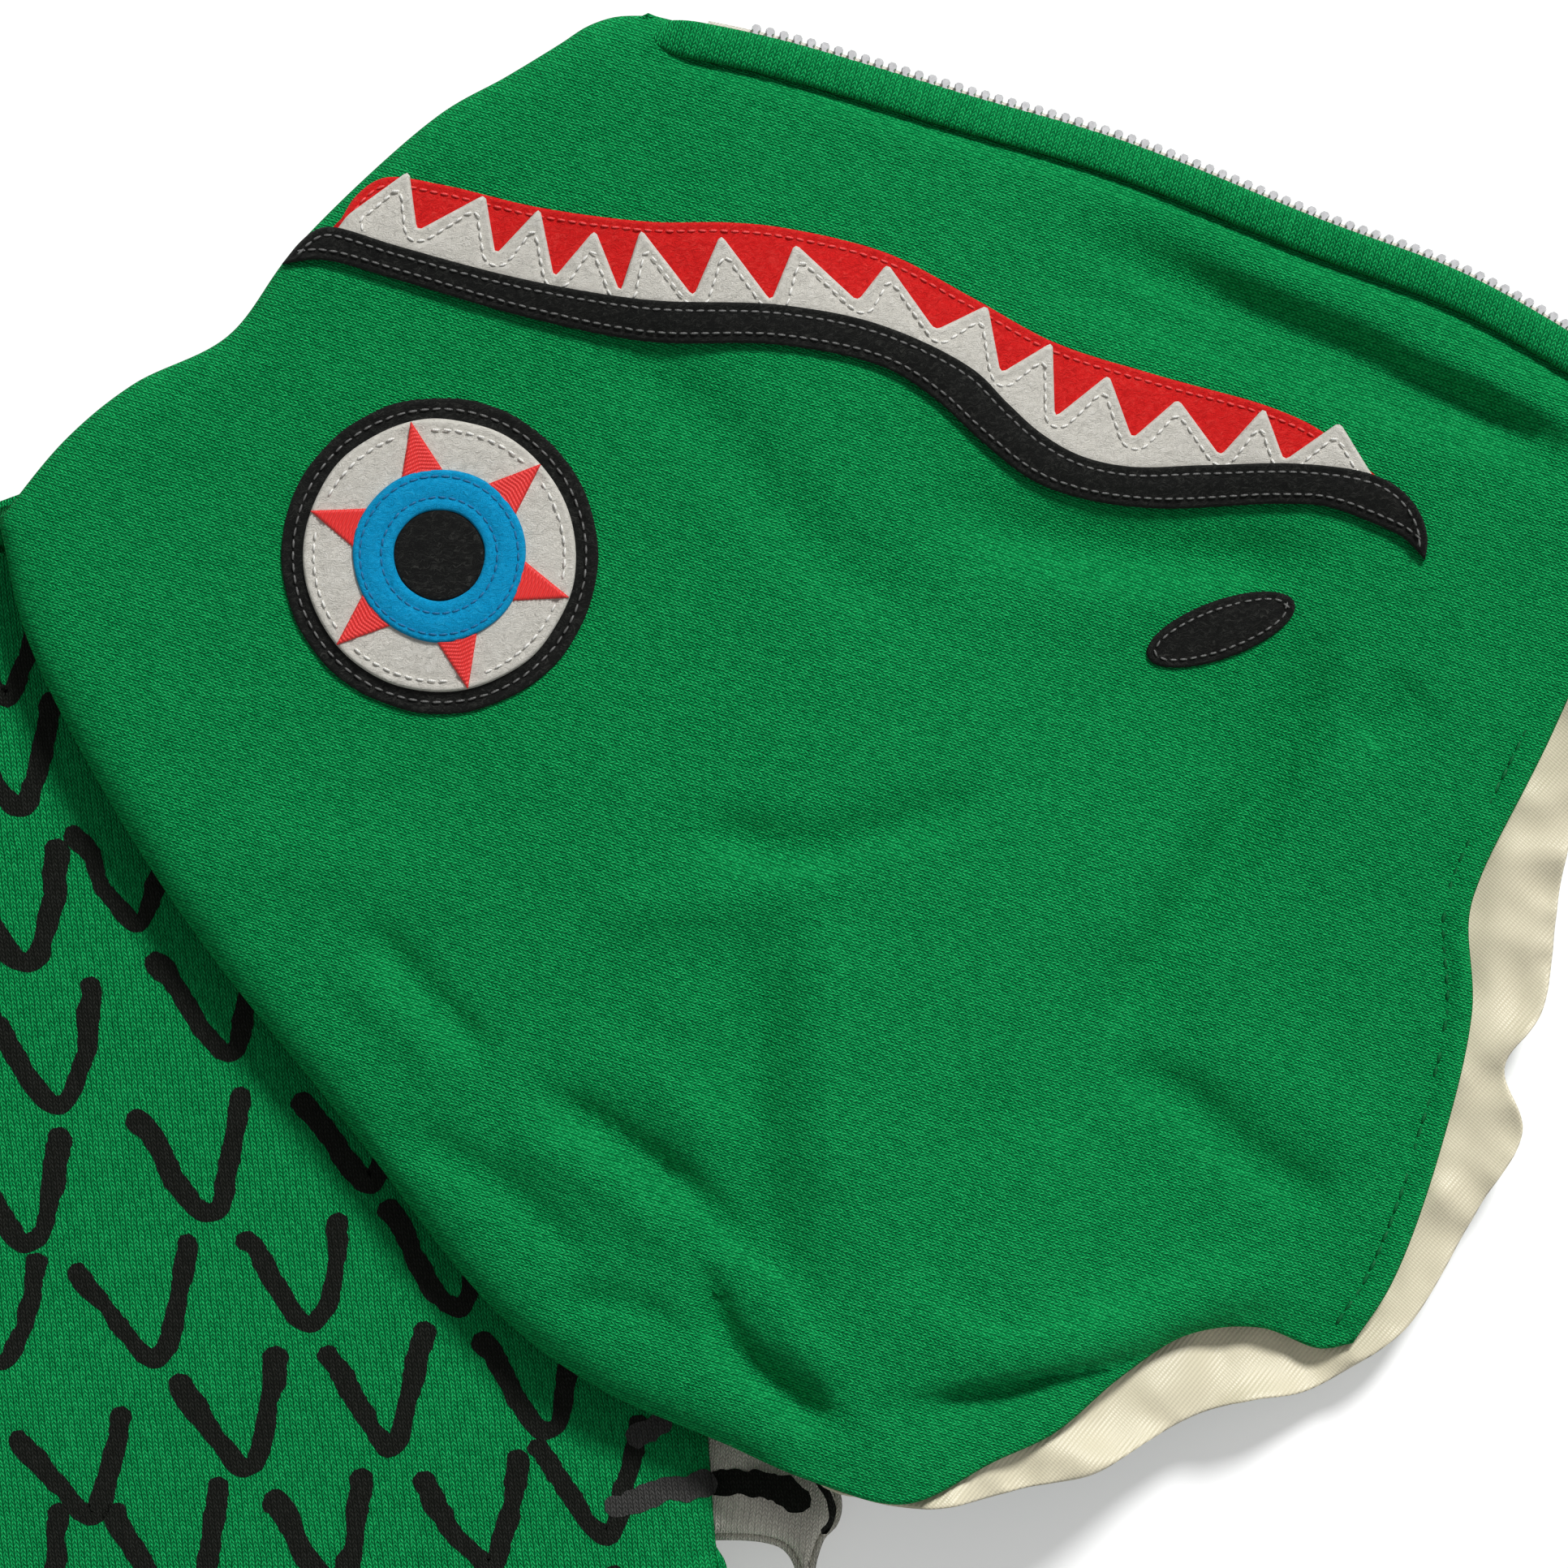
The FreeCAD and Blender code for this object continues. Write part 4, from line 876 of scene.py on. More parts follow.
seam_outline = loop(fold_top, tucked_edge()[2:-3], opening[5:], lower_roll, fold_bottom)
upper = cloth("hood_upper_half", seam_outline, upper_height, *HOOD_JERSEY, 1.5, edge=0.7)
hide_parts("hood_upper_panel", "hood_gusset")
inner_edge, inner_roll = offset(under_edge, -1.5)[3:], offset(under_roll, -1.5)[:-3]
inner_loop = loop(
    offset(fold_top, -0.7)[1:-1], zip_edge, inner_edge, inner_roll, offset(fold_bottom, -0.7)[1:-1]
)
under = cloth(
    "hood_lower_half", inner_loop, lambda p: hood_under(p) + KNIT, *HOOD_JERSEY, 2.4, edge=0.6, straight=True
)
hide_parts("hood_lower_panel")


def welt_section(width, crown):
    """Across and up pairs of a soft tube, widest towards its line."""
    turns = [math.pi * k / 8 for k in range(9)]
    upper_side = [(-width / 2 * math.cos(t), crown * math.sin(t) ** 0.7) for t in turns]
    return upper_side + [(width / 2 * math.cos(t) * 0.9, -1.3 * math.sin(t)) for t in turns[1:8]]


welt_line = offset(zip_edge, -WELT / 2)
welt_levels = {"upper": (1.3, lambda p: hood_top(p) - 0.8), "lower": (0.5, lambda p: hood_under(p) + 1.3)}
for half, (crown, level) in welt_levels.items():
    points, faces = sweep(welt_line, welt_section(WELT, crown), level, 8.0)
    welt = mesh_object(f"hood_{half}_zip_welt", points, faces, welt_knit, "hood")
    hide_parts(f"hood_{half}_welt")

TEETH_PITCH = 2.05
TAPE_SECTION = [(-2.0, 0.0), (-2.0, 0.6), (3.0, 0.6), (3.4, 0.3), (3.0, 0.0)]


def zip_tooth():
    """One stamped tooth: a clamp round the bead and a head with its nib, along +y."""
    half = [(0.5, 0.0), (0.55, 1.1), (0.4, 1.45), (0.66, 1.8), (0.66, 2.25), (0.36, 2.6)]
    outline = [(-x, y) for x, y in half] + half[::-1]
    heights = [(1.0, 0.72), (0.86, 1.0), (-0.86, 1.0), (-1.0, 0.72)]
    points = [(x * shrink, y, h * 1.1) for h, shrink in heights for x, y in outline]
    rows, around = len(heights), len(outline)
    return np.array(points), bands(rows, around) + end_caps(rows, around)


def teeth_row(line, height, pitch):
    """Teeth that stand to the left of the line."""
    line = resample(line, pitch)
    n = normals_of(line)
    shape, shape_faces = zip_tooth()
    parts = []
    for k in range(1, len(line) - 1):
        nx, ny = n[k]
        u, v, w = shape.T
        tip = rng.normal(0, 0.03)
        x = line[k, 0] + v * nx + u * ny
        y = line[k, 1] + v * ny - u * nx
        parts.append((np.column_stack([x, y, height(line[k : k + 1])[0] + w + tip * v]), shape_faces))
    return joined(parts)


for half, level in (("upper", lambda p: hood_cloth(p) - 2.4), ("lower", lambda p: hood_under(p) + 2.4)):
    tape_line = offset(zip_edge, -2.9)[8:-2]
    points, faces = sweep(tape_line, TAPE_SECTION, level, 1.0)
    band = mesh_object(f"hood_{half}_zip_tape", points, faces, tape, "hood")
    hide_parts(f"hood_{half}_tape")
    points, faces = teeth_row(offset(zip_edge, -1.2)[14:-3], lambda p, lv=level: lv(p) + 0.35, TEETH_PITCH)
    row = mesh_object(f"hood_{half}_zip_teeth", points, faces, steel, "hood", False)
    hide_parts(f"hood_{half}_teeth")

# linings


def lining_low(points):
    """The satin of the lower half, loose in small folds past the upper half's edge."""
    free = np.exp(-distance(points, np.concatenate([under_edge, under_roll])) / 14)
    creases = 1.8 * (0.5 - np.abs(waves(points, 26, 25))) + 0.9 * (0.5 - np.abs(waves(points, 11, 26)))
    ripple = 1.5 * waves(points, 15, 21) + 0.5 * waves(points, 7, 22) + creases
    loose = hood_under(points) + KNIT + 1.2 + free * (1.8 + ripple) + 0.3 * waves(points, 24, 23)
    covered = inside(points, upper_outline)
    under = np.maximum(upper_height(points[covered]) - KNIT - 1.2, hood_under(points[covered]) + KNIT + 0.3)
    loose[covered] = np.minimum(loose[covered], under)
    return loose


def lining_high(points):
    return hood_cloth(points) - 2.4 + 0.1 * waves(points, 20, 24)


inner_fold = np.concatenate([offset(fold_bottom, -3.4)[2:-4], offset(fold_top, -3.4)[4:-12]])
inner_top = offset(zip_edge, -8.0)[:-8]
low_loop = loop(inner_fold, inner_top, offset(under_edge, -0.2)[6:], offset(under_roll, -0.2)[1:-1])
high_loop = loop(inner_fold, inner_top, offset(opening, -4.6)[10:-6], offset(lower_roll, -7.0)[8:-6])
lining_lower = cloth("hood_satin_lower", low_loop, lining_low, *HOOD_SATIN, 1.6, 0.4, (0.4, 1.0), 0.2)
lining_upper = cloth("hood_satin_upper", high_loop, lining_high, *HOOD_SATIN, 3.0, 0.4, (1.0,), 0.2)
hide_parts("hood_lower_lining")
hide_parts("hood_upper_lining")

# ------------------------------------------------------------------ the face

MOUTH_TOP = [
    (-65, 83), (-63, 86.3), (-59, 89), (-50, 87.9), (-36, 84.6), (-20, 82.5), (-8, 82.4), (0, 81.7),
    (15, 78.3), (28, 71.8), (40, 65.5), (56, 60.7), (72, 56.3), (80, 52.6), (88, 46),
]
TOOTH_TIPS = [
    (-55, 90), (-43.8, 86.5), (-35.8, 84.5), (-27.7, 81.3), (-21, 81.4), (-9.3, 80.6), (1.6, 79.4),
    (15.2, 76.7), (30.1, 70.8), (39.8, 65.5), (48.2, 60.8), (58.6, 57.3), (71.5, 56.1), (82.7, 53.9),
]
TOOTH_ROOTS = [
    (-64, 83.5), (-53.8, 81.1), (-42.3, 77.6), (-33.7, 74.2), (-24, 72), (-13.3, 71.4), (-1.9, 70.8),
    (10.8, 71), (22.3, 66.9), (32, 60.7), (40.1, 54.3), (51.7, 51.3), (64.9, 48.8), (74.4, 48.1),
    (87.3, 46.3),
]
LIP_TOP = [
    (-73.8, 76.4), (-71.1, 79.6), (-68.8, 81.3), (-66.5, 81.7), (-56.5, 78.8), (-38.3, 74), (-20, 70.9),
    (0, 70.2), (14.6, 67.4), (28, 61.1), (33, 56.3), (38, 51.9), (44, 48.6), (51.3, 47.1), (62.4, 47.4),
    (77, 47.6), (87.3, 46.1), (91.7, 43.8), (94.6, 40.2), (95.7, 36.5), (95.4, 33.4),
]
LIP_BOTTOM = [
    (95.4, 33.4), (92.4, 36.5), (88, 38.7), (80.7, 41.3), (73.3, 41.7), (55, 41), (44, 42.4), (36.7, 45),
    (29.3, 50.5), (22, 57), (14.6, 61.4), (0, 64.4), (-20, 64.9), (-38.3, 68.6), (-56.5, 73.9),
    (-67.9, 76.9), (-73.8, 76.4),
]
STAR_ANGLES = (42, 102, 161, 221, 282, 342)


def wobbly(points, radius, sharp=0.35):
    """A cut line through sharp corners, each softened a little."""
    p = np.asarray(points, float)
    out = []
    for k in range(len(p)):
        a, b, c = p[k - 1], p[k], p[(k + 1) % len(p)]
        back = min(radius, np.linalg.norm(a - b) * 0.4) / max(np.linalg.norm(a - b), 1e-9)
        ahead = min(radius, np.linalg.norm(c - b) * 0.4) / max(np.linalg.norm(c - b), 1e-9)
        start, end = b + (a - b) * back, b + (c - b) * ahead
        pull = b * (1 - sharp) + (start + end) / 2 * sharp
        for t in (0, 0.25, 0.5, 0.75, 1):
            out.append((1 - t) ** 2 * start + 2 * t * (1 - t) * pull + t * t * end)
    return np.array(out)


def ring(centre, radius, step=0.8):
    count = max(12, int(2 * math.pi * radius / step))
    turn = np.linspace(0, 2 * math.pi, count, endpoint=False)
    return np.column_stack([centre[0] + radius * np.cos(turn), centre[1] + radius * np.sin(turn)])


def hand_cut(points, amount, seed):
    """A cut edge that strays a little from its line."""
    return points + normals_of(points) * (amount * waves(points, 9, seed))[:, None]


eye_middle = hood([EYE])[0]
nostril_middle = hood([NOSTRIL])[0]
mouth_upper = smooth(hood(MOUTH_TOP), 0.8)
lip_upper = smooth(hood(LIP_TOP), 0.8)
lip_lower = smooth(hood(LIP_BOTTOM), 0.8)
lip_outline = loop(lip_upper, lip_lower)
zigzag = [TOOTH_ROOTS[0]]
for tip, root in zip(TOOTH_TIPS, TOOTH_ROOTS[1:]):
    zigzag += [tip, root]
gum = offset(lip_upper, -2.4)[8:-8]
teeth_outline = resample(wobbly(np.concatenate([hood(zigzag), gum[::-6]]), 0.7), 0.6)
mouth_corners = hood([(-70, 78)]), hood([(93, 39)])
under_lip = offset(lip_lower, -1.8)[5:-5]
under_lip = np.concatenate([mouth_upper[-1:], mouth_corners[1], under_lip, mouth_corners[0]])
base_outline = loop(mouth_upper, under_lip, np.concatenate([mouth_corners[0], mouth_upper[:1]]))


def ellipse(centre, long, short, tilt, step=0.6):
    count = int(math.pi * (long + short) / step)
    turn = np.linspace(0, 2 * math.pi, count, endpoint=False)
    c, s = math.cos(tilt), math.sin(tilt)
    u, v = long * np.cos(turn), short * np.sin(turn)
    return np.column_stack([centre[0] + u * c - v * s, centre[1] + u * s + v * c])


def star_ray(turn, below, level, side):
    """One embroidered ray: satin stitches lie across it, so it is ridged along its length."""
    base, tip, half, pitch = 11.6, 20.1, 3.3, 0.55
    c, s = math.cos(turn), math.sin(turn)
    outline = resample(np.array([(base, -half), (tip, 0), (base, half), (base, -half)]), 0.3)[:-1]
    flat, faces, outline = triangulate(outline, 0.2)
    d = distance(flat, outline, True)
    lay = flat[:, 0] + 0.25 * np.abs(flat[:, 1])
    up = level + 0.12 + 0.36 * rounded(d, 0.5) + 0.13 * np.cos(2 * math.pi * lay / pitch)
    place = np.column_stack([flat[:, 0] * c - flat[:, 1] * s, flat[:, 0] * s + flat[:, 1] * c]) + eye_middle
    base_z = below(place)
    top = np.column_stack([place, base_z + side * up])
    points, faces = closed_sheet(top, faces, 0, base_z + side * (level - 0.3))
    return points, [f[::-1] for f in faces] if side < 0 else faces


def lip_level(points):
    """The lip comes down to the knit along its lower edge."""
    return 0.9 + 1.0 * ease(distance(points, lip_lower) / 4.5)


def creature_face(half, below, side):
    """All felt pieces and their stitching on one side of the hood."""

    def piece(name, outline, level, material, slot, node, grooves=(), spacing=1.1):
        made = felt(
            f"{half}_{name}", outline, below, level, material, "hood", spacing, grooves,
            FELT * 0.9, side,
        )
        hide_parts(f"{half}_{node}")
        cut_flat(outline)
        return made

    tilt = math.radians(20) - HOOD_TURN
    rim, white = hand_cut(ring(eye_middle, 23.2), 0.12, 31), hand_cut(ring(eye_middle, 20.0), 0.12, 32)
    piece("eye_black_disc", rim, 0, black_felt, "black_felt", "eye_rim", (1.7,))
    piece("eye_white_disc", white, 0.9, white_felt, "white_felt", "eye_white", (1.6,))
    iris(half, below, side)
    piece("eye_pupil_disc", ring(eye_middle, 6.7, 0.5), 1.55, black_felt, "black_felt", "eye_pupil", (), 0.8)
    turns = [math.radians(a) - HOOD_TURN for a in STAR_ANGLES]
    points, faces = joined([star_ray(turn, below, 1.75, side) for turn in turns])
    star = mesh_object(f"{half}_eye_star_embroidery", points, faces, star_thread, "hood")
    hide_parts(f"{half}_eye_star")
    piece("mouth_red_base", base_outline, 0, red_felt, "red_felt", "mouth_red", (1.3,))
    piece("mouth_teeth_strip", teeth_outline, 0.95, white_felt, "white_felt", "mouth_teeth", (1.4,), 0.8)
    piece("mouth_black_lip", lip_outline, lip_level, black_felt, "black_felt", "mouth_lip", (1.2,))
    nostril_outline = ellipse(nostril_middle, 11.7, 4.3, tilt)
    piece("nostril_disc", nostril_outline, 0, black_felt, "black_felt", "nostril", (1.3,))

    def on(level):
        return lambda p: below(p) + side * level

    def on_lip(p):
        return below(p) + side * (lip_level(p) + 0.76)

    rays = [eye_middle + 17.5 * np.array([math.cos(t), math.sin(t)]) for t in turns]

    def on_star(p):
        return np.array([min(np.hypot(*(q - r)) for r in rays) < 2.3 for q in p])

    ring_row = lambda radius: ring(eye_middle, radius, 0.5)
    nostril_row = ellipse(nostril_middle, 10.4, 3.0, tilt)
    base_row = offset(mouth_upper, -1.3)[3:-6]
    tooth_row = wobbly(inset_zigzag(), 1.2)
    rows = {
        "black": (
            stitches(ring_row(21.5), on(0.86), 1.75, 1.25, 0.36, side, closed=True)
            + stitches(offset(lip_upper, -1.3)[4:-3], on(2.6), 1.6, 1.15, 0.36, side)
            + stitches(offset(lip_lower, -1.4)[4:-4], on_lip, 1.6, 1.15, 0.36, side)
            + stitches(nostril_row, on(0.84), 1.5, 1.05, 0.36, side, closed=True),
            black_thread,
            "black_felt",
        ),
        "white": (
            stitches(ring_row(18.4), on(1.78), 1.7, 1.15, 0.4, side, on_star, True)
            + stitches(tooth_row, on(1.86), 1.6, 1.1, 0.4, side),
            white_thread,
            "white_felt",
        ),
        "red": (stitches(base_row, on(0.84), 1.6, 1.15, 0.38, side), red_thread, "red_felt"),
        "blue": (
            stitches(ring_row(11.6), on(2.5), 1.6, 1.2, 0.32, side, closed=True)
            + stitches(ring_row(8.5), on(2.5), 1.5, 1.1, 0.32, side, closed=True),
            blue_thread,
            "blue_felt",
        ),
    }
    for colour, (parts, material, slot) in rows.items():
        points, faces = joined(parts)
        mesh_object(f"{half}_{colour}_stitching", points, faces, material, "hood")


def inset_zigzag():
    """The white stitch line, inside both sides of each tooth."""
    line = []
    tips, roots = np.array(TOOTH_TIPS, float), np.array(TOOTH_ROOTS, float)
    margin = 1.4
    for tip, left, right in zip(tips, roots, roots[1:]):
        base = right - left
        width = np.linalg.norm(base)
        down = (left + right) / 2 - tip
        tall = np.linalg.norm(down)
        down /= tall
        half_angle = math.atan2(width / 2, tall)
        line.append(left + base / width * margin * 1.2 + down * 1.4)
        line.append(tip + down * min(margin / math.sin(half_angle), tall * 0.62))
        line.append(right - base / width * margin * 0.6 + down * 1.6)
    return hood(line)


def iris(half, below, side):
    """The blue ring, as a band swept round the pupil."""
    radii = np.array([6.6, 6.7, 7.0, 7.6, 8.1, 8.5, 8.9, 9.6, 10.4, 11.2, 11.6, 12.0, 12.4, 12.65, 12.7])
    ups = np.array([1.6, 2.3, 2.6, 2.68, 2.62, 2.42, 2.62, 2.7, 2.7, 2.62, 2.42, 2.6, 2.5, 2.2, 1.6])
    count = 120
    turn = np.linspace(0, 2 * math.pi, count, endpoint=False)
    stray = 0.08 * np.sin(3 * turn) + 0.06 * np.sin(7 * turn + 1)
    rows = []
    for radius, up in zip(radii, ups):
        reach = radius + stray * (radius / 12.7)
        p = np.column_stack([eye_middle[0] + reach * np.cos(turn), eye_middle[1] + reach * np.sin(turn)])
        rows.append(np.column_stack([p, below(p) + side * up]))
    points = np.concatenate(rows)
    faces = []
    around = len(radii)
    for r in range(around):
        s = (r + 1) % around
        for k in range(count):
            m = (k + 1) % count
            quad = (r * count + k, s * count + k, s * count + m, r * count + m)
            faces.append(quad if side > 0 else quad[::-1])
    made = mesh_object(f"{half}_eye_iris_ring", points, faces, blue_felt, "hood")
    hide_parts(f"{half}_eye_iris")


creature_face("upper", hood_top, 1)
creature_face("lower", hood_under, -1)

# topstitching of the open edge
edge_row = offset(opening, -3.8)[3:-2]
points, faces = joined(stitches(edge_row, lambda p: upper_height(p) + 0.2, 2.35, 1.75, 0.6))
mesh_object("hood_edge_topstitch", points, faces, green_thread, "hood")

# ------------------------------------------------------------------ the torso

CHEST, HEM_HALF, SHOULDER, ARMPIT, SEAM_DROP = 165.0, 160.0, 140.0, -150.0, -168.0
NECK_HALF, NECK_DROP, SHOULDER_DROP = 62.0, 54.0, 36.0
PANEL_END = HEM_TOP - NECK_Y
SIDE_REACH = 9.0
MIDDLE_Z = (BACK_Z + FRONT_Z) / 2


FRONT_NECK = [
    (NECK_HALF, 0), (NECK_HALF * 0.9, -NECK_DROP * 0.4), (NECK_HALF * 0.6, -NECK_DROP * 0.78),
    (PANEL_EDGE, -NECK_DROP),
]
BACK_NECK = [(NECK_HALF, 0), (NECK_HALF * 0.6, -9), (0, -12)]
ARMHOLE = [(SHOULDER, -SHOULDER_DROP), (SHOULDER - 1, -79), (SHOULDER + 9, -120), (CHEST, ARMPIT)]
SEAM = [(CHEST, ARMPIT), (CHEST - 1, SEAM_DROP), (HEM_HALF, PANEL_END)]


def half_path(neck):
    """Half a torso panel, from the neck's middle round the shoulder and the side to the hem's middle."""
    pieces = [
        smooth(neck)[::-1],
        resample([neck[0], ARMHOLE[0]], 1.5)[1:-1],
        smooth(ARMHOLE),
        resample(SEAM, 1.5)[1:],
        resample([SEAM[-1], (neck[-1][0], PANEL_END)], 2.0)[1:],
    ]
    return np.concatenate(pieces)


def mirrored(points, side):
    return np.asarray(points, float) * (side, 1)


def front_outline(side):
    half = half_path(FRONT_NECK)
    centre = resample([half[-1], half[0]], 2.0)[1:-1]
    return torso(mirrored(np.concatenate([half, centre]), side))


def back_outline():
    half = half_path(BACK_NECK)
    return torso(np.concatenate([half, mirrored(half, -1)[::-1][1:-1]]))


def rectangle(x0, y0, x1, y1, step=1.5):
    """The outline of a rectangle, in even steps."""
    corners = [(x0, y0), (x1, y0), (x1, y1), (x0, y1), (x0, y0)]
    return np.concatenate([resample(corners[k : k + 2], step)[:-1] for k in range(4)])


def lines_of(points, step=2.0):
    return {side: torso(resample(mirrored(points, side), step)) for side in (1, -1)}


side_folds_at = lines_of([(CHEST - 1, SEAM_DROP), (HEM_HALF, PANEL_END), (HEM_HALF, HEM_END - NECK_Y - 9)])
armholes = lines_of(ARMHOLE + [(CHEST - 1, SEAM_DROP)])
shoulders = lines_of([(NECK_HALF, 0), ARMHOLE[0]])


def torso_sides(points, side):
    """1 inside, lower at the folded side seam, the armhole and the shoulder."""
    seam = rounded(distance(points, side_folds_at[side]), SIDE_REACH)
    arm = rounded(distance(points, armholes[side]), 5.0)
    top = rounded(distance(points, shoulders[side]), 5.0)
    return seam * (0.6 + 0.4 * arm) * (0.45 + 0.55 * top)


def both_sides(points, rule):
    """rule(points, side) for the points of each side of the centre line."""
    result = np.zeros(len(points))
    right = points[:, 0] >= CENTRE_X
    for side, chosen in ((1, right), (-1, ~right)):
        if chosen.any():
            result[chosen] = rule(points[chosen], side)
    return result


def hem_seam(points):
    """The seam's groove above the ribbed hem, and the rib's own pull."""
    y = points[:, 1] - HEM_TOP
    return -0.7 * np.exp(-((y / 1.6) ** 2)) + 0.5 * np.exp(-(((y + 6) / 7) ** 2))


def front_at(points):
    """Top of the torso's front."""
    swell = -0.5 + 0.35 * waves(points, 70, 41) + 0.12 * waves(points, 22, 42) + hem_seam(points)
    full = FRONT_Z + np.minimum(swell, 0)
    return MIDDLE_Z + (full - MIDDLE_Z) * both_sides(points, torso_sides)


def back_at(points):
    """Top of the torso's back cloth."""
    return MIDDLE_Z - (MIDDLE_Z - BACK_Z) * both_sides(points, torso_sides) + KNIT + 0.1


def layers(name, outline, low, high, folds, material, body, slot, spacing=2.5, reach=None):
    """Cloth folded flat: an upper and a lower sheet that meet round the folds. Heights are functions."""
    reach = reach or (high(outline).mean() - low(outline).mean()) / 2
    edge = np.concatenate(folds)

    def top(points):
        middle_z = (low(points) + high(points)) / 2
        return middle_z + 0.5 + (high(points) - middle_z - 0.5) * rounded(distance(points, edge), reach)

    def bottom(points):
        middle_z = (low(points) + high(points)) / 2
        return middle_z + 0.4 - (middle_z + 0.4 - low(points) - 1.2) * rounded(distance(points, edge), reach)

    kind = (material, body, slot, spacing, 1.1, (0.35, 0.9, 1.8))
    upper_sheet = cloth(f"{name}_top_layer", outline, top, *kind, 0.5)
    lower_sheet = cloth(f"{name}_under_layer", outline, bottom, *kind, 0.3)
    return upper_sheet, lower_sheet, top


# front, back, hems and collar

for side, hand in ((1, "right"), (-1, "left")):
    outline = front_outline(side)
    panel = cloth(f"front_{hand}_cloth", outline, front_at, *JERSEY, 2.4)
    stand_in(f"front_{hand}_panel", outline)
    outline = torso(mirrored(rectangle(PANEL_EDGE, HEM_END - NECK_Y, HEM_HALF, PANEL_END), side))
    hem = cloth(f"hem_front_{hand}_rib", outline, front_at, *RIB, 2.2)
    stand_in(f"hem_front_{hand}", outline)
outline = back_outline()
back = cloth("back_cloth", outline, back_at, *JERSEY, 3.0)
stand_in("back_panel", outline)
outline = torso(rectangle(-HEM_HALF, HEM_END - NECK_Y, HEM_HALF, PANEL_END))
hem = cloth("hem_back_rib", outline, back_at, *RIB, 3.0)
stand_in("hem_back", outline)

COLLAR_RISE, COLLAR_FLARE = 40.0, 6.0
side_top = (NECK_HALF + COLLAR_FLARE, COLLAR_RISE * 0.85)
collar_folds = lines_of([(NECK_HALF, -4), side_top])


def collar_sides(points, side):
    return rounded(distance(points, collar_folds[side]), 6.0)


def collar_front_at(points):
    full = FRONT_Z - 0.4 + np.minimum(0.3 * waves(points, 30, 51), 0.3)
    return MIDDLE_Z + (full - MIDDLE_Z) * both_sides(points, collar_sides)


def collar_back_at(points):
    return MIDDLE_Z - (MIDDLE_Z - BACK_Z) * both_sides(points, collar_sides) + KNIT + 0.1


for side, hand in ((1, "right"), (-1, "left")):
    inner_points = [(NECK_HALF * 0.85, COLLAR_RISE * 0.4), (NECK_HALF * 0.5, -6)]
    top = smooth([side_top, *inner_points, (PANEL_EDGE, COLLAR_RISE - NECK_DROP)])
    low = smooth(FRONT_NECK)[::-1]
    ends = [resample([top[-1], low[0]], 1.5)[1:-1], resample([low[-1], top[0]], 1.5)[1:-1]]
    outline = torso(mirrored(np.concatenate([top, ends[0], low, ends[1]]), side))
    collar = cloth(f"collar_front_{hand}_cloth", outline, collar_front_at, *JERSEY, 2.2)
    stand_in(f"collar_front_{hand}", outline)
neck_low = smooth(BACK_NECK)
neck_low = np.concatenate([neck_low, mirrored(neck_low, -1)[::-1][1:]])[::-1]
rise = [(NECK_HALF * 0.5, COLLAR_RISE), (-NECK_HALF * 0.5, COLLAR_RISE)]
neck_high = smooth([side_top, *rise, (-side_top[0], side_top[1])])
ends = [resample([a[-1], b[0]], 1.5)[1:-1] for a, b in ((neck_low, neck_high), (neck_high, neck_low))]
outline = torso(np.concatenate([neck_low, ends[0], neck_high, ends[1]]))
collar = cloth("collar_back_cloth", outline, collar_back_at, *JERSEY, 2.4)
stand_in("collar_back", outline)
inner = triangulate(outline, 6.0)[2]
inward = normals_of(np.concatenate([inner[-1:], inner, inner[:1]]))[1:-1] * 3.2
satin_outline = (inner + inward)[::2]
collar = cloth(
    "collar_satin", satin_outline, lambda p: collar_back_at(p) + 0.7, satin, "torso", "cream_satin", 2.4, 0.4,
    (0.8,), 0.2,
)
stand_in("collar_lining", satin_outline)

# ------------------------------------------------------------------ sleeves, cuffs, pockets, the hood's neck

SLEEVE_REACH = box_mm("right_sleeve")[1][0] - CENTRE_X
SLEEVE_END = box_mm("right_sleeve")[0][1] - NECK_Y
CUFF_END = box_mm("right_cuff")[0][1] - NECK_Y
CUFF_MIDDLE = middle("right_cuff")[0] - CENTRE_X
CUFF_HALF = (box_mm("right_cuff")[1][0] - box_mm("right_cuff")[0][0]) / 2
SLEEVE_TOP = 7.0
SLEEVE = [
    (CUFF_MIDDLE + CUFF_HALF + 3, SLEEVE_END),
    (CHEST - 13, ARMPIT - 80),
    (CHEST - 8, ARMPIT - 45),
    (CHEST - 4, ARMPIT - 20),
    (CHEST - 6, ARMPIT + 40),
    (SHOULDER + 2, -SHOULDER_DROP - 3),
    (SHOULDER - 30, -SHOULDER_DROP - 8),
    (CUFF_MIDDLE - CUFF_HALF - 17, -SHOULDER_DROP - 62),
    (CUFF_MIDDLE - CUFF_HALF - 18, ARMPIT - 60),
    (CUFF_MIDDLE - CUFF_HALF - 3, SLEEVE_END),
]


def sleeve_low(points):
    return np.full(len(points), 0.25)


def sleeve_high(points):
    return SLEEVE_TOP - 0.35 + np.minimum(0.3 * waves(points, 40, 61), 0.3)


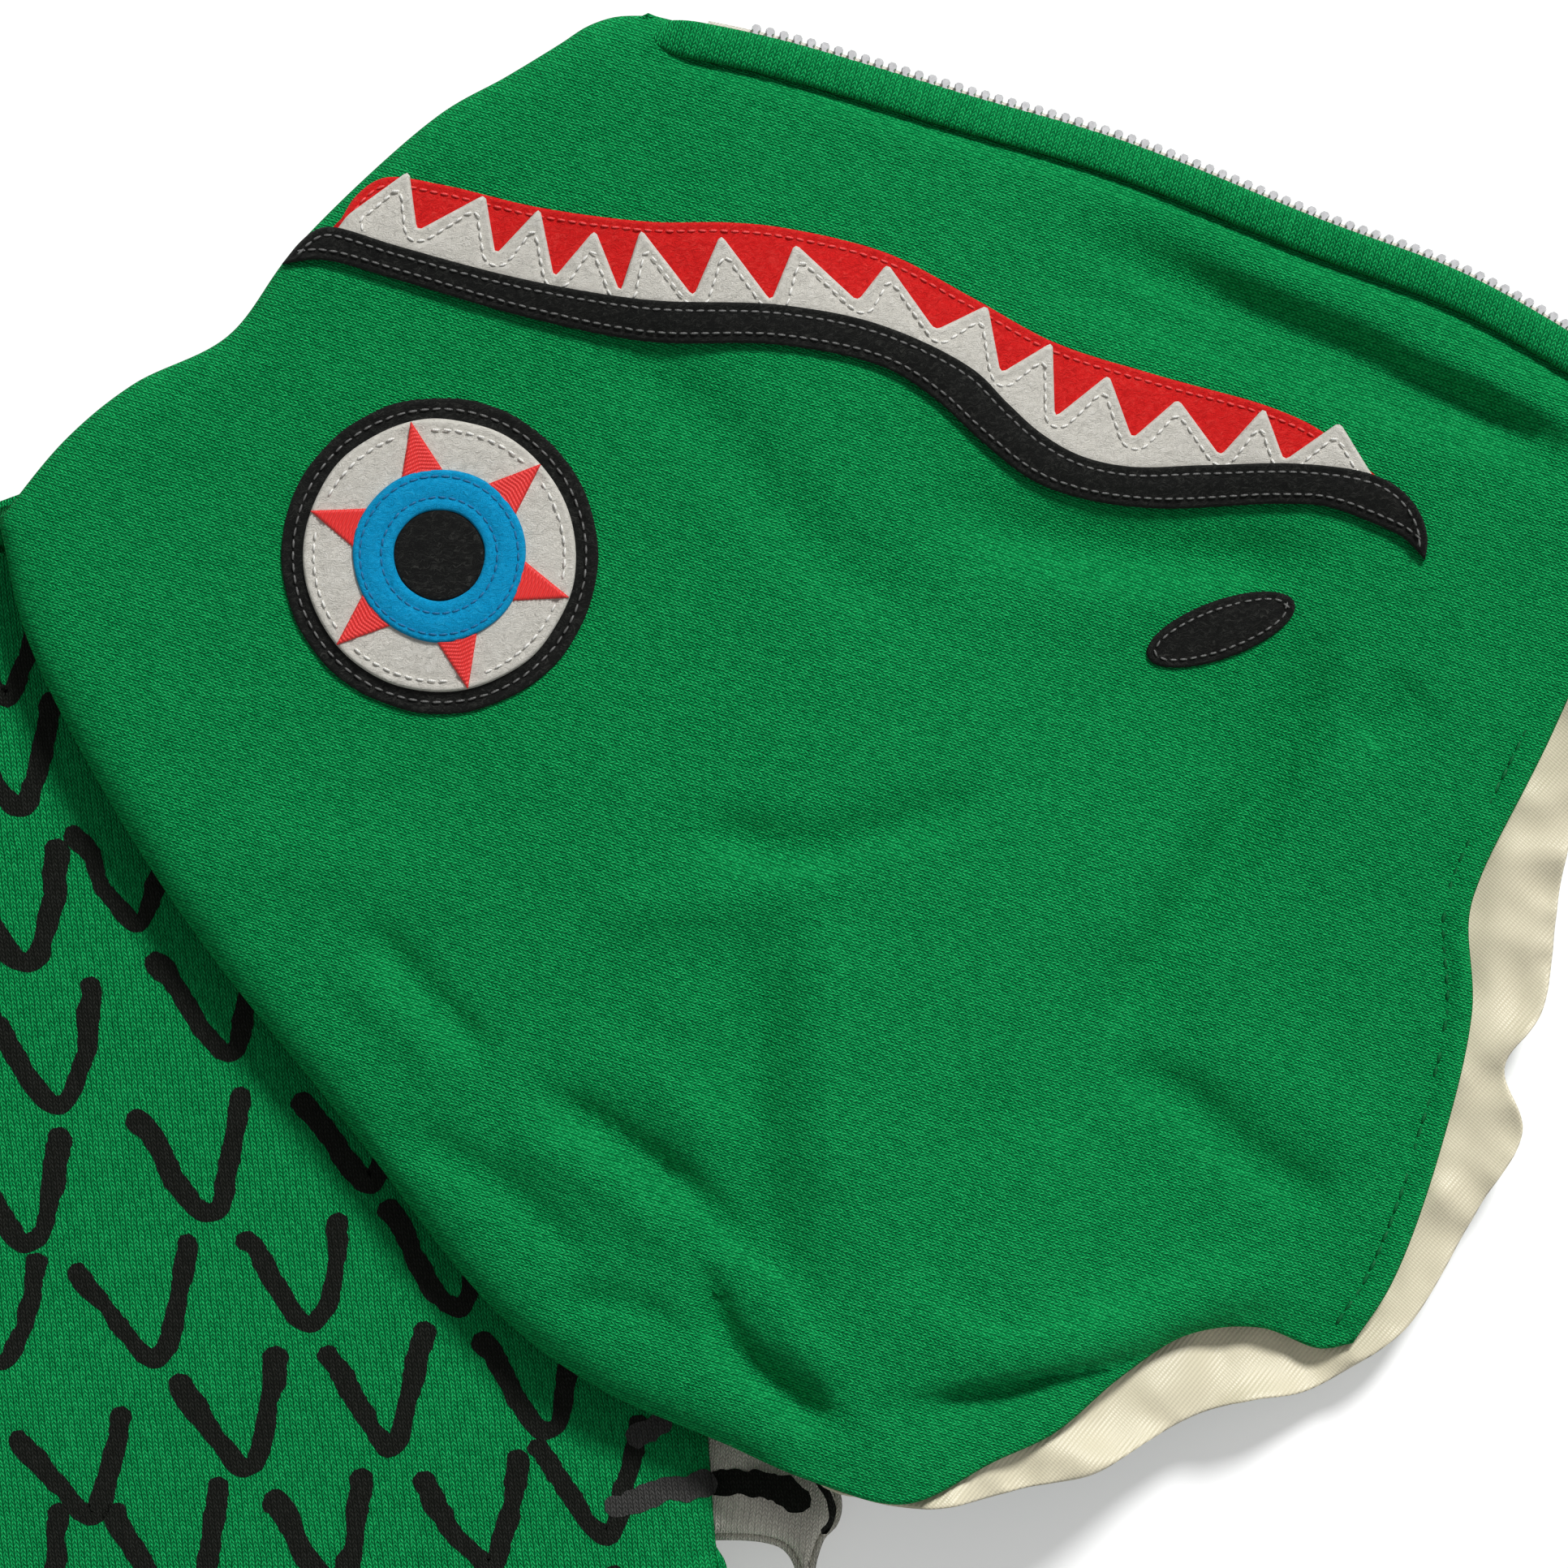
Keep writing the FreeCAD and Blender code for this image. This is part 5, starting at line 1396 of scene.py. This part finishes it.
for side, hand in ((1, "right"), (-1, "left")):
    edge = torso(mirrored(smooth(SLEEVE, 1.6), side))
    end = torso(resample(mirrored([SLEEVE[-1], SLEEVE[0]], side), 2.0)[1:-1])
    outline = np.concatenate([edge, end])
    top_layer, under_layer, _ = layers(
        f"{hand}_sleeve", outline, sleeve_low, sleeve_high, [edge], *CREAM, 3.2
    )
    stand_in(f"{hand}_sleeve", outline)
    cut_flat(outline)
    x0, x1 = CUFF_MIDDLE - CUFF_HALF, CUFF_MIDDLE + CUFF_HALF
    start = SLEEVE_END + 0.6
    outline = torso(mirrored(rectangle(x0, CUFF_END, x1, start), side))
    folds = [torso(mirrored(resample([(x, CUFF_END), (x, start)], 2.0), side)) for x in (x0, x1)]
    top_layer, under_layer, _ = layers(f"{hand}_cuff", outline, sleeve_low, sleeve_high, folds, *RIB, 2.4)
    stand_in(f"{hand}_cuff", outline)
    cut_flat(outline)

# the sleeve's fold that shows beside the armpit
TONGUE = [
    (CHEST - 4, -100),
    (CHEST + 6, -122),
    (SLEEVE_REACH - 4, ARMPIT + 5),
    (SLEEVE_REACH - 2, ARMPIT - 6),
    (SLEEVE_REACH, ARMPIT - 12),
    (SLEEVE_REACH - 0.7, ARMPIT - 15.4),
    (SLEEVE_REACH - 3, ARMPIT - 17.4),
    (SLEEVE_REACH - 4.6, ARMPIT - 20.5),
    (SLEEVE_REACH - 5.6, ARMPIT - 23),
    (SLEEVE_REACH - 6.8, ARMPIT - 19.6),
    (SLEEVE_REACH - 8.3, ARMPIT - 17.6),
    (SLEEVE_REACH - 11.7, ARMPIT - 16),
    (CHEST - 0.8, ARMPIT - 14.8),
    (CHEST - 4, ARMPIT - 14.8),
]


def tongue_high(points):
    """From the armhole's seam down to the fold."""
    x = points[:, 0] - CENTRE_X - CHEST
    return 14.2 - 6.2 * ease(x / 19) + 0.3 * waves(points, 12, 71)


def tongue_low(points):
    return np.maximum(tongue_high(points) - 7.0, 1.0)


for side, hand in ((1, "right"), (-1, "left")):
    edge = torso(mirrored(smooth(TONGUE, 0.9), side))
    outline = np.concatenate([edge, torso(resample(mirrored([TONGUE[-1], TONGUE[0]], side), 1.5)[1:-1])])

    def mirror(points, side=side):
        return (points - (CENTRE_X, 0)) * (side, 1) + (CENTRE_X, 0)

    def high(points):
        return tongue_high(mirror(points))

    def low(points):
        return tongue_low(mirror(points))

    upper_fold, lower_fold, tongue_top = layers(
        f"{hand}_sleeve_fold", outline, low, high, [edge], *CREAM, 1.2, 2.6
    )
    cut_flat(outline)
    cut_flat(outline)
    if side > 0:
        right_tongue_top = tongue_top

# pockets
POCKET_TOP, POCKET_SIDE, POCKET_IN, POCKET_KNEE, POCKET_OUT = 105.0, 50.0, 20.0, 75.0, 132.0
pocket_corners = [
    (POCKET_IN, PANEL_END),
    (POCKET_OUT, PANEL_END),
    (POCKET_OUT, PANEL_END + POCKET_SIDE),
    (POCKET_KNEE, PANEL_END + POCKET_TOP),
    (POCKET_IN, PANEL_END + POCKET_TOP),
    (POCKET_IN, PANEL_END),
]
for side, hand in ((1, "right"), (-1, "left")):
    runs = [torso(mirrored(resample(pocket_corners[k : k + 2], 1.6), side)) for k in range(5)]
    outline = np.concatenate([run[:-1] for run in runs])
    sewn = np.concatenate([runs[0], runs[1], runs[3], runs[4]])
    hand_edge = runs[2]

    def pocket_at(points, sewn=sewn, hand_edge=hand_edge):
        rise = 0.9 + 4.2 * ease(distance(points, sewn) / 22)
        gap = distance(points, hand_edge)
        rise += 0.5 * np.exp(-(((gap - 2) / 2) ** 2)) - 0.5 * np.exp(-(((gap - 12) / 0.6) ** 2))
        return front_at(points) + rise + 0.25

    pocket = cloth(f"{hand}_pocket_cloth", outline, pocket_at, *JERSEY, 2.2, 1.2)
    stand_in(f"{hand}_pocket", outline)
    parts = []
    for k in (1, 3, 4):
        row = offset(runs[k], 1.8 * side)[2:-2]
        parts += stitches(row, lambda p, f=pocket_at: f(p) + 0.08, 2.6, 1.9, 0.4)
    parts += stitches(offset(hand_edge, 12 * side)[1:-1], lambda p, f=pocket_at: f(p) + 0.3, 2.6, 1.9, 0.4)
    points, faces = joined(parts)
    mesh_object(f"{hand}_pocket_stitching", points, faces, green_thread, "torso")

# the hood's neck, folded under the hood's left corner
neck_corners = [(NECK_HALF + 10, -1), (SHOULDER + 2, -SHOULDER_DROP + 4)]
under_hood = turned([(-37, 92), (-48, 94), (-70, 70), (-104, 46)]) + HOOD_ORIGIN - (CENTRE_X, NECK_Y)
neck_outline = torso(smooth(neck_corners + [tuple(p) for p in under_hood], 1.5, True))


def neck_low_at(points):
    return np.full(len(points), 0.6)


def neck_high_at(points):
    return FRONT_Z + 0.6 + 0.4 * waves(points, 22, 81) - drop(points)


upper_neck, lower_neck, _ = layers(
    "hood_neck", neck_outline, neck_low_at, neck_high_at, [neck_outline], *JERSEY, 2.0
)
stand_in("hood_neck", neck_outline)
cut_flat(neck_outline)

# ------------------------------------------------------------------ the front zip

TAPE_Z = box_mm("zip_tape_right")[1][2]
for side, hand in ((1, "right"), (-1, "left")):
    low, high = box_mm(f"zip_tape_{hand}")
    line = resample([((low[0] + high[0]) / 2, low[1]), ((low[0] + high[0]) / 2, high[1])], 3.0)
    half = (high[0] - low[0]) / 2
    section = [(-half, -0.7), (-half, -0.1), (half, -0.1), (half, -0.7)]
    points, faces = sweep(line, section, lambda p: np.full(len(p), TAPE_Z))
    band = mesh_object(f"front_{hand}_zip_tape", points, faces, tape, "torso", False)
    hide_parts(f"zip_tape_{hand}")
    row = torso(mirrored([(PANEL_EDGE + 3.5, -NECK_DROP), (PANEL_EDGE + 3.5, PANEL_END)], side))
    points, faces = joined(stitches(row, lambda p: front_at(p) + 0.08, 2.6, 1.9, 0.4))
    mesh_object(f"front_{hand}_zip_stitching", points, faces, green_thread, "torso")

for name in ("teeth_right", "teeth_left", "top_stops", "retainer_box", "insertion_pin", "slider", "pull"):
    for place in bpy.data.objects[f"zip_{name}"].material_slots:
        place.material = steel

# ------------------------------------------------------------------ the print


def brush(points, width, height, seed, taper=0.15, lift=0.07):
    """A brush stroke on the cloth: round ends, an uneven edge."""
    line = smooth(points, 0.5)
    n = normals_of(line)
    count = len(line)
    run = np.linspace(0, 1, count)
    length = np.hypot(*np.diff(line, axis=0).T).sum()
    ends = rounded(np.minimum(run, 1 - run) * length, width * 0.45)
    r = np.random.default_rng(seed)
    rough = [np.zeros(count), np.zeros(count)]
    for edge in rough:
        for gap, stray in ((3.2, 0.13), (0.8, 0.07)):
            knots = int(length / gap) + 3
            edge += np.interp(run, np.linspace(0, 1, knots), r.normal(0, stray, knots))
    body = width / 2 * (1 - taper * np.sin(math.pi * run)) * ends
    left = line + n * (body * (1 + rough[0]))[:, None]
    right = line - n * (body * (1 + rough[1]))[:, None]
    steps = 5
    flat = np.concatenate([left + (right - left) * (k / (steps - 1)) for k in range(steps)])
    return np.column_stack([flat, height(flat) + lift]), bands(steps, count, closed=False, outwards=False)


# Scales near the hood, placed one by one in the hood's frame; the rest follow the print's grid.
PLACED = [
    (-113.6, -3.7), (-95.2, -21), (-107.3, -47.6), (-82.7, -41.1), (-85.1, -63.5), (-111.4, -68.6),
    (-93.7, -85.5), (-70.2, -80.4), (-49, -77.4), (-79.8, -101.5), (-58, -98.3), (-35, -96.1),
    (-103.2, -108.6), (-26.2, -111.4),
]
SCALE_SHAPE = [(-9.4, 15.6), (-7.4, 12.6), (-4.2, 5.6), (-0.9, 0.5), (0.9, 0.5), (3.8, 7.0), (6.9, 17.6)]
SCALE_ACROSS, SCALE_UP = 22.5, 19.5


def scale_mark(place, seed):
    """One V of the print, drawn from its upper left down and up again."""
    r = np.random.default_rng(seed)
    shape = np.array(SCALE_SHAPE)
    shape = shape * r.uniform(0.93, 1.07, 2) + r.normal(0, 0.4, shape.shape)
    return brush(shape + place, r.uniform(3.0, 3.7), front_at, seed)


placed = hood(PLACED)
panel_outlines = {side: front_outline(side) for side in (1, -1)}
marks = [scale_mark(p, 60 + k) for k, p in enumerate(placed)]
for side in (1, -1):
    low_x, high_x = PANEL_EDGE + 9, HEM_HALF - 9
    for j in range(24):
        for k in range(-12, 13):
            x = 12.5 + 11.25 * (j % 2 == 0) + SCALE_ACROSS * k
            y = 53.2 + SCALE_UP * (j - 14)
            p = np.array([x, y])
            rel = p - (CENTRE_X, NECK_Y)
            if rel[0] * side < low_x or rel[0] * side > high_x - 4 or y < HEM_TOP + 4:
                continue
            if not inside(np.array([p + (0, 17)]), panel_outlines[side])[0]:
                continue
            if np.hypot(*(placed - p).T).min() < 15:
                continue
            marks.append(scale_mark(p + rng.normal(0, 0.5, 2), 100 + len(marks)))


def printed(name, strokes, material):
    """Strokes of the print as one piece."""
    points, faces = joined(strokes)
    mesh_object(name, points, faces, material, "torso")


printed("front_scale_print", marks, ink)
arm_strokes = [
    ([(-26.6, -107.8), (-20.6, -105.6), (-14.4, -104.2), (-9.8, -103.8)], 4.0, front_at, 301, 0.0, 0.1),
    ([(-23, -98), (-20.2, -95.6), (-16.6, -94.2)], 3.4, front_at, 302, -0.1, 0.1),
]
sleeve_strokes = [
    ([(-11.5, -103.9), (-5.1, -104), (0, -105.2), (3.9, -107.6)], 4.0, right_tongue_top, 303, 0.0, 0.12),
    ([(3.6, -101.6), (5.3, -104), (7, -107), (7.1, -109.6), (5.6, -111.8)],
     1.2, right_tongue_top, 304, 0.1, 0.12),
]
# The strokes on the green use the ink with its painted sheen.
printed("front_arm_print", [brush(hood(line), *rest) for line, *rest in arm_strokes], painted_sheen_ink)
printed("right_sleeve_print", [brush(hood(line), *rest) for line, *rest in sleeve_strokes], ink)

# ------------------------------------------------------------------ the hood's outlines: flat sizes worked out, not kept

cut_flat(upper_outline)
cut_flat(under_outline)
cut_flat(low_loop)
cut_flat(high_loop)

# ------------------------------------------------------------------ floor, light and camera


def seen_rays(tree):
    """1 for what the camera sees, also in a reflection or through glass, and 0 for light on the object."""
    path = add(tree, "ShaderNodeLightPath")
    direct = maths(tree, "MAXIMUM", path.outputs["Is Camera Ray"], path.outputs["Is Glossy Ray"])
    return maths(tree, "MAXIMUM", direct, path.outputs["Is Transmission Ray"])


def studio():
    """A pale floor that looks white and keeps the object's shadow, and soft light from the upper right."""
    floor = bpy.data.meshes.new("floor")
    reach = 4.0
    corners = [(-reach, -reach, 0), (reach, -reach, 0), (reach, reach, 0), (-reach, reach, 0)]
    floor.from_pydata(corners, [], [(0, 1, 2, 3)])
    piece = bpy.data.objects.new("floor", floor)
    bpy.context.scene.collection.objects.link(piece)
    material, tree, shader = node_material("floor_paper")
    look(tree, shader, (*PAPER, 1), 0.9, 0.1)
    glow = maths(tree, "MULTIPLY", seen_rays(tree), PAPER_GLOW)
    add_inputs(tree, shader, {"Emission Color": (1, 1, 1, 1), "Emission Strength": glow})
    floor.materials.append(material)
    world = bpy.data.worlds.new("studio")
    bpy.context.scene.world = world
    world.use_nodes = True
    nodes, links = world.node_tree.nodes, world.node_tree.links
    background = nodes["Background"]
    background.inputs["Color"].default_value = (1, 1, 1, 1)
    level = maths(world.node_tree, "MULTIPLY_ADD", seen_rays(world.node_tree), 1 - FILL, FILL)
    links.new(level, background.inputs["Strength"])
    key = bpy.data.lights.new("key", "SUN")
    key.energy = KEY
    key.angle = math.radians(SUN_ANGLE)
    lamp = bpy.data.objects.new("key", key)
    bpy.context.scene.collection.objects.link(lamp)
    lamp.rotation_euler = Vector(SUN_FROM).to_track_quat("Z", "Y").to_euler()


FILL, KEY = 0.29, 3.15
SUN_FROM, SUN_ANGLE = (0.52, 0.80, 0.86), 13
PAPER, PAPER_GLOW = (0.86, 0.86, 0.86), 0.32
studio()
FRAME_WIDTH, CAMERA_HEIGHT, SENSOR = 230.0, 1230.0, 36.0
view_middle = HOOD_ORIGIN
camera_data = bpy.data.cameras.new("camera")
camera_data.sensor_width = SENSOR
camera_data.lens = SENSOR * (CAMERA_HEIGHT - HOOD_TOP) / FRAME_WIDTH
camera_data.clip_end = 20
camera = bpy.data.objects.new("camera", camera_data)
bpy.context.scene.collection.objects.link(camera)
camera.location = (view_middle[0] * MM, view_middle[1] * MM, CAMERA_HEIGHT * MM)
camera.rotation_euler = (0, 0, -HOOD_TURN)
bpy.context.scene.camera = camera
bpy.context.scene.view_settings.view_transform = "Standard"
